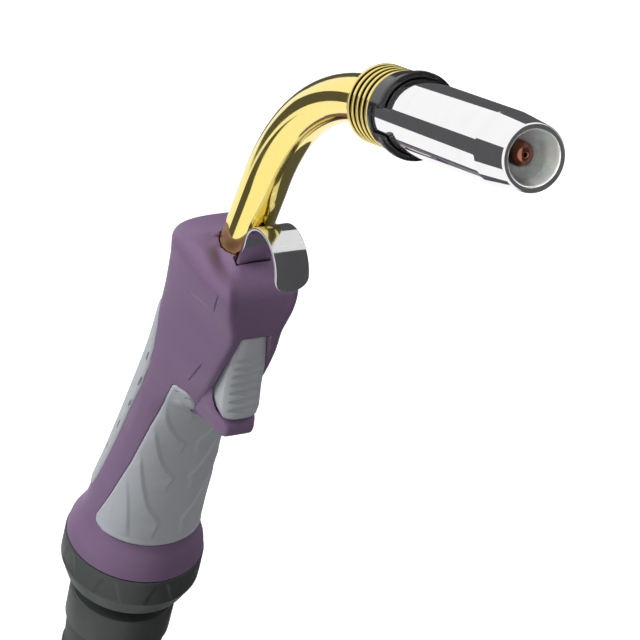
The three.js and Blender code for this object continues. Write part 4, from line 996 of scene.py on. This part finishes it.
def ribHeight(grid, r):
    # in the developed skin (arc length from the middle, height) the height is
    # peak * taper(travel) * step(signed distance) * exp(-distance / fade)
    arc = np.concatenate([np.zeros((len(grid), 1)),
                          np.cumsum(np.linalg.norm(np.diff(grid, axis=1), axis=2), 1)], 1)
    half = grid.shape[1] // 2
    girth = arc[:, -1:] + np.linalg.norm(grid[:, -1] - grid[:, 0], axis=1)[:, None]
    arc[:, half + 1:] = girth - arc[:, half + 1:]
    flat = np.stack([arc.ravel(), grid[..., 2].ravel()], -1)
    widest = np.abs(grid[:, :half + 1, 1]).argmax(1)
    total = np.zeros(len(flat))
    for line, peak in zip(r["lines"], r["height"]):
        line = np.array(line, float)
        row = np.abs(grid[:, 0, 2][None] - line[:, 1:]).argmin(1)
        line[:, 0] = [np.interp(y, np.abs(grid[i, :widest[i] + 1, 1]), arc[i, :widest[i] + 1])
                      for i, y in zip(row, line[:, 0])]
        travel = travelled(line)
        at = np.linspace(0, travel[-1], r["points"])
        curve = monotone(travel, line, at)
        a, along = curve[:-1][None], np.diff(curve, axis=0)[None]
        near = np.flatnonzero((flat[:, 1] < line[:, 1].max() + r["near"])
                              & (flat[:, 1] > line[:, 1].min() - r["near"]))
        t, off = fromSegments(flat[near][:, None], a, along)
        distance = np.linalg.norm(off, axis=-1)
        best, pick = distance.argmin(1), np.arange(len(near))
        cross = along[0, best, 0] * off[pick, best, 1] - along[0, best, 1] * off[pick, best, 0]
        signed = np.where(cross > 0, 1, -1) * distance[pick, best]
        where = at[best] + t[pick, best] * (at[1] - at[0])
        ends = np.clip(np.minimum(where, travel[-1] - where) / r["taper"], 0, 1) ** r["blunt"]
        leaf = np.where(signed > 0, np.exp(-signed / r["fade"]), np.exp(-(signed / r["step"]) ** 2))
        total[near] = np.maximum(total[near], peak * ends * leaf)
    return total.reshape(grid.shape[:2])


def gripSurface(side):
    # the skin moves out from sunk at the outline to proud inside it, plus the ribs
    base, out = (skinGrid(handle["body"], grow, gripShape["columns"][side], gripShape["step"],
                          gripShape["rows"][side]) for grow in (0.0, 1.0))
    depth = edgeDepth(base[..., ::2].reshape(-1, 2), gripOutline[side]).reshape(base.shape[:2])
    rise = np.clip(depth / gripShape["edge"], 0, 1)
    proud = handle["gripProud"] - gripShape["sunk"] * (1 - np.sqrt(np.maximum(0, 1 - (1 - rise) ** 2)))
    if side == "front":
        start, run = gripShape["ribEdge"]
        proud = proud + (ribHeight(base, ribs) - gripShape["ribSunk"]) * np.clip((depth - start) / run, 0, 1)
    return loftedSolid("grip_surface", base + proud[..., None] * (out - base)), base


def slitCutter(start, end, s):
    # a long lens lying along the line, deeper than wide, whose size is sqrt(1 - u^4)
    way, middle = unit(end - start), (start + end) / 2
    middleLine = s["middleX"] + s["slope"] * (middle[2] - s["middleHeight"])
    outward = np.array([middle[0] - middleLine, middle[1], 0.0])
    outward = unit(outward - way * (outward @ way))
    u = np.linspace(-1, 1, 17)[:, None]
    reach = np.linalg.norm(end - start) / 2 + s["past"]
    path = middle + outward * s["lift"] + way * u * reach
    size = np.sqrt(np.maximum(1e-4, 1 - u ** 4))[:, None]
    return loftedSolid("slit", ringsAlong(path, np.cross(way, outward) * s["half"], outward * s["deep"], size, 20))


def makeGrips(side):
    # the grip's surface inside its outline, hollowed and halved, with the slits cut once its edges are soft
    whole, base = gripSurface(side)
    combined(whole, sidePrism("grip_edge", gripOutline[side]), "INTERSECT")
    cutBy(whole, innerSkin(handle["gripDeep"]))
    if side == "front":
        cutBy(whole, frameSolid(gripShape["frameGap"]))
    for right in (True, False):
        name = side + "_grip_" + ("right" if right else "left")
        half = combined(copied(whole, name + "_rubber"), halfSpace(right), "INTERSECT")
        softenedEdges(half, angle=32, rounds=2, seam=handle["seam"])
        for line in slits[side]:
            cutBy(half, slitCutter(*onSkin(np.array(line) * [1, 1 if right else -1, 1], base), slits))
        finishPiece(half, name, 42)
        sharpParting(half, 4 * handle["split"])
    bpy.data.objects.remove(whole)


makeGrips("front")
makeGrips("rear")
print("grips built")

triggerShape = {
    # height, front and back in side view, half width
    "rows": [(-58, 23.9, 13.4, 5.8), (-57.3, 24.3, 12.6, 6.2), (-54.4, 23.7, 12, 6.85), (-47, 22.1, 11.4, 6.9),
             (-40, 21.6, 11.4, 6.85), (-33, 21.3, 11, 6.1), (-25.5, 20.9, 11.2, 5.25), (-24.9, 20.3, 12.4, 4.9)],
    "sag": 1.9, "crown": 3.4, "grooves": 7, "firstGroove": -34.8, "groovePitch": 3.28, "grooveRadius": 1.15,
    "grooveDeep": 0.95, "grooveHalf": 5.5, "grooveReach": 6.6,
    # the pin's way and the spring's pocket: x, height, radius and half length
    "ways": [(14.6, -28.2, 1.8, 9), (11.4, -36.6, 3.0, 2.1)],
    "rib": ((10.4, 12.4), (-1.6, 1.6), (-49.4, -45.6))}


def makeTrigger(t):
    # across the face x = front - sag |y / half|^crown, closed by two flanks and a back
    height, *columns = np.array(t["rows"], float).T
    z = np.concatenate([np.linspace(height[0], height[1], 5, endpoint=False),
                        np.linspace(height[1], height[-2], 56, endpoint=False),
                        np.linspace(height[-2], height[-1], 6)])
    front, back, half = (np.interp(z, height, column)[:, None] for column in columns)
    across = np.sin(np.linspace(-math.pi / 2, math.pi / 2, 61))[None]
    face = front - t["sag"] * np.abs(across) ** t["crown"]
    flank = face[:, -1:] + (back - face[:, -1:]) * np.linspace(0, 1, 14)[None, 1:-1]
    x = np.concatenate([face, flank, back + 0 * across[:, ::3], flank[:, ::-1]], 1)
    y = np.concatenate([half * across, half + 0 * flank, -half * across[:, ::3], -half + 0 * flank], 1)
    body = loftedSolid("trigger_body", np.stack([x, y, z[:, None] + 0 * x], -1))
    y = np.linspace(-t["grooveReach"], t["grooveReach"], 45)
    for i in range(t["grooves"]):
        z = t["firstGroove"] - t["groovePitch"] * i
        front, _, half = (np.interp(z, height, column) for column in columns)
        x = front - t["sag"] * np.abs(y / half) ** t["crown"] + t["grooveRadius"]
        x = x - t["grooveDeep"] * (1 - (y / t["grooveHalf"]) ** 2)
        path = np.stack([x, y, z + 0 * y], -1)
        cutBy(body, loftedSolid("groove", ringsAlong(path, xWay, zWay, t["grooveRadius"], 24)))
    for x, z, radius, half in t["ways"]:
        cutBy(body, rod("way", (x, -half, z), (x, half, z), radius))
    combined(body, box("push_rib", *t["rib"]), "UNION")
    return softenedEdges(body, angle=30, rounds=2, reach=0.35)


finishPiece(makeTrigger(triggerShape), "trigger", 38)

hook = {"thickness": 1.2, "half": 6.1, "radius": 12.0, "centre": (22.4, 8.8), "arcFrom": 175, "footEnd": 17.0,
        "footHeight": -7.6, "legFoot": 7.61, "legTop": 10.45, "legRise": 16.4, "legShort": 1.2,
        "tipHeight": 7.3, "corner": 1.8, "tipRound": 4.9, "edge": 0.3, "rivet": (13.6, 1.7)}


def hookPath(h):
    # along the foot, round the corner, up the leg, then half a circle over the top and a short drop
    foot = np.stack([np.linspace(h["footEnd"], h["legFoot"] + h["corner"], 8, endpoint=False),
                     np.full(8, h["footHeight"])], -1)
    u = np.linspace(0, 1, 9)[:, None]
    lift = np.array([(h["legTop"] - h["legFoot"]) / h["legRise"], 1.0]) * h["corner"]
    low = np.array([h["legFoot"], h["footHeight"]])
    turn = (1 - u) ** 2 * (low + [h["corner"], 0]) + 2 * u * (1 - u) * low + u ** 2 * (low + lift)
    legEnd = np.array([h["legTop"], h["centre"][1] - h["legShort"]])
    leg = turn[-1] + (legEnd - turn[-1]) * np.linspace(0.08, 1, 16)[:, None]
    a = np.radians(np.linspace(h["arcFrom"], 0, 72))[:, None]
    arc = np.array(h["centre"]) + h["radius"] * np.concatenate([np.cos(a), np.sin(a)], 1)
    drop = arc[-1] + np.array([0.0, h["tipHeight"] - h["centre"][1]]) * np.linspace(0.25, 1, 4)[:, None]
    path = np.concatenate([foot, turn, leg, arc, drop])
    travel = travelled(path)
    at = np.concatenate([np.linspace(0, travel[-1] - h["tipRound"], 190),
                         travel[-1] - h["tipRound"] * (1 - np.sin(np.linspace(0.05, math.pi / 2, 22)))])
    path = np.stack([np.interp(at, travel, path[:, i]) for i in (0, 1)], -1)
    for _ in range(4):
        path[1:-1] = 0.5 * path[1:-1] + 0.25 * (path[2:] + path[:-2])
    return path, travel[-1] - at


def makeHook(h):
    # a strip with rounded edges: its half width narrows on a circle towards the free end
    path, left = hookPath(h)
    way = unit(np.gradient(path, axis=0))
    into = np.clip(h["tipRound"] - left, 0, h["tipRound"])
    half = h["half"] - h["tipRound"] + np.sqrt(np.maximum(0.02, h["tipRound"] ** 2 - into ** 2))
    arc = np.linspace(0, math.pi / 2, 5)
    corner = h["edge"] * (np.stack([np.cos(arc), np.sin(arc)], -1) - 1)
    wide, high = np.concatenate([corner, corner[::-1]] * 2).T
    across = np.repeat([1, -1, -1, 1], 5) * (half[:, None] + wide)
    lift = np.repeat([1, 1, -1, -1], 5) * (h["thickness"] / 2 + high)
    grid = np.stack([path[:, :1] - lift * way[:, 1:], across, path[:, 1:] + lift * way[:, :1]], -1)
    x, radius = h["rivet"]
    return cutBy(loftedSolid("hook_strip", grid), rod("rivet_way", (x, 0, -10), (x, 0, -5), radius))


finishPiece(makeHook(hook), "hanging_hook", 30)
# a shank between two low heads
atHookFoot = onAxis(xWay, zWay, np.array([13.6, 0, -7.6]))
rivetShape = {"profile": [(0.01, -4.3), (1.9, -4.3), (2.3, -3.8), (2.3, -2.9), (1.4, -2.9), (1.4, 0.65), (2.3, 0.65),
                          (2.3, 0.95), (1.7, 1.45), (0.01, 1.45)],
              "rounding": 0.12, "segments": 48, "steps": 3}
finishPiece(turnedSolid("hook_rivet_turned", atHookFoot, **rivetShape), "hook_rivet", 40)
print("trigger and hook built")

studio = {"floorHeight": -0.75, "floorHalf": 20.0, "floorColour": (0.9, 0.9, 0.9), "floorGlow": 0.55,
          "skyForDiffuse": 0.30, "flagDistance": 9.0, "flagColour": (0.088, 0.088, 0.092)}
# place, watts, size, and where needed the target and the spread in degrees
lamps = {"key": [(-0.9, -2.3, 1.7), 70.0, 1.5], "fill": [(1.6, -1.9, 1.4), 9.0, 1.4],
         "back": [(-1.1, 2.2, 0.9), 22.0, 1.8],
         "nose": [(1.75, -0.75, 1.25), 0.05, 0.05, (0.125, 0.0, 0.134), 4.0]}
# dark cards, seen only in reflections: axis, first and last direction round it, nearest and furthest angle from it
noseBack = (-0.875, 0, -0.485)
flags = {
    "nozzle_top": [noseBack, (-0.649, 0.427, -0.630), (-0.959, 0.275, -0.071), 8, 36],
    "nozzle_top_end": [noseBack, (-0.649, 0.427, -0.630), (-0.975, 0.215, -0.060), 36, 62],
    "nozzle_middle": [noseBack, (-0.843, -0.459, -0.279), (-0.660, -0.439, -0.610), 8, 36],
    "nozzle_middle_end": [noseBack, (-0.855, -0.460, -0.240), (-0.600, -0.400, -0.690), 36, 62],
    "nozzle_foot": [noseBack, (-0.533, -0.107, -0.839), (-0.527, -0.003, -0.850), 8, 40],
    "right": [(0, 1, 0), (0.3, 0.427, -0.9), (0.251, 0.427, 0.868), 34, 84],
    "far_right": [(0.5497, 0.8353, 0), (0.526, -0.346, -0.777), (-0.631, 0.415, 0.656), 0, 76]}


def makeFlag(name, axis, first, last, near, far, rows=25, columns=9):
    # part of a sphere: azimuth from first to last, polar angle from near to far
    axis, first, last = (unit(np.array(v, float)) for v in (axis, first, last))
    one = unit(first - axis * (first @ axis))
    two = np.cross(axis, one)
    turn = np.linspace(0, math.atan2(last @ two, last @ one), rows)[:, None, None]
    polar = np.radians(np.linspace(near, far, columns))[None, :, None]
    grid = np.cos(polar) * axis + np.sin(polar) * (np.cos(turn) * one + np.sin(turn) * two)
    a = (np.arange(rows - 1)[:, None] * columns + np.arange(columns - 1)[None, :]).ravel()
    b = a + columns + 1
    faces = np.concatenate([np.stack([a, a + 1, b], -1), np.stack([a, b, b - 1], -1)])
    card = makeMesh("flag_" + name, grid.reshape(-1, 3) * studio["flagDistance"], faces, metres=True)
    card.visible_camera = card.visible_diffuse = card.visible_shadow = card.visible_transmission = False
    return card


def makeLamp(name, where, power, size, target=(0, 0, 0), spread=180):
    # a square lamp that faces the target and isn't seen in reflections
    lamp = bpy.data.lights.new(name, "AREA")
    lamp.shape = "SQUARE"
    lamp.size = size
    lamp.energy = power
    lamp.spread = math.radians(spread)
    made = newObject(name, lamp)
    made.location = where
    made.rotation_euler = (Vector(where) - Vector(target)).to_track_quat("Z", "Y").to_euler()
    made.visible_glossy = False


def studioCloth(name, colour, darker, grain, mottle, **sockets):
    # a glowing matt finish with a slow mottle
    material, tree, shader = newFinish(name, **sockets)
    texture = effect(tree, grainGroup, Grain=grain, Mottle=mottle)
    tone = mixed(tree, texture["Mottle"], colour, shade(colour, darker))
    fill(tree, shader, Emission_Color=tone)
    return material, tree, shader, tone


def makeStudio(s):
    # floor, dark cards, lamps, and a white sky that is weaker as diffuse light
    square = np.array([[-1, -1, 0], [1, -1, 0], [1, 1, 0], [-1, 1, 0]], float) * s["floorHalf"]
    floor = makeMesh("floor", square + zWay * s["floorHeight"], np.array([[0, 1, 2], [0, 2, 3]]), metres=True)
    pale, tree, shader, tone = studioCloth("paleFloor", s["floorColour"], 0.98, 60.0, 2.0, Roughness=0.9,
                                           Emission_Strength=s["floorGlow"])
    fill(tree, shader, Base_Color=tone)
    floor.data.materials.append(pale)
    floor.visible_diffuse = floor.visible_glossy = False
    dark = studioCloth("flagCloth", s["flagColour"], 0.9, 40.0, 0.3, Roughness=1.0, Emission_Strength=1.0,
                       Base_Color=(0.001, 0.001, 0.001, 1.0))[0]
    for name, card in flags.items():
        made = makeFlag(name, *card)
        made.data.materials.append(dark)
    for name, lamp in lamps.items():
        makeLamp(name, *lamp)
    world = bpy.data.worlds.new("studioSky")
    world.use_nodes = True
    tree = world.node_tree
    diffuse = addNode(tree, "LightPath").outputs["Is Diffuse Ray"]
    fill(tree, tree.nodes["Background"], Color=(1.0, 1.0, 1.0, 1.0),
         Strength=ranged(tree, diffuse, 1.0, s["skyForDiffuse"]))
    scene.world = world


makeStudio(studio)
scene.view_settings.view_transform = "Standard"
print("studio lit")
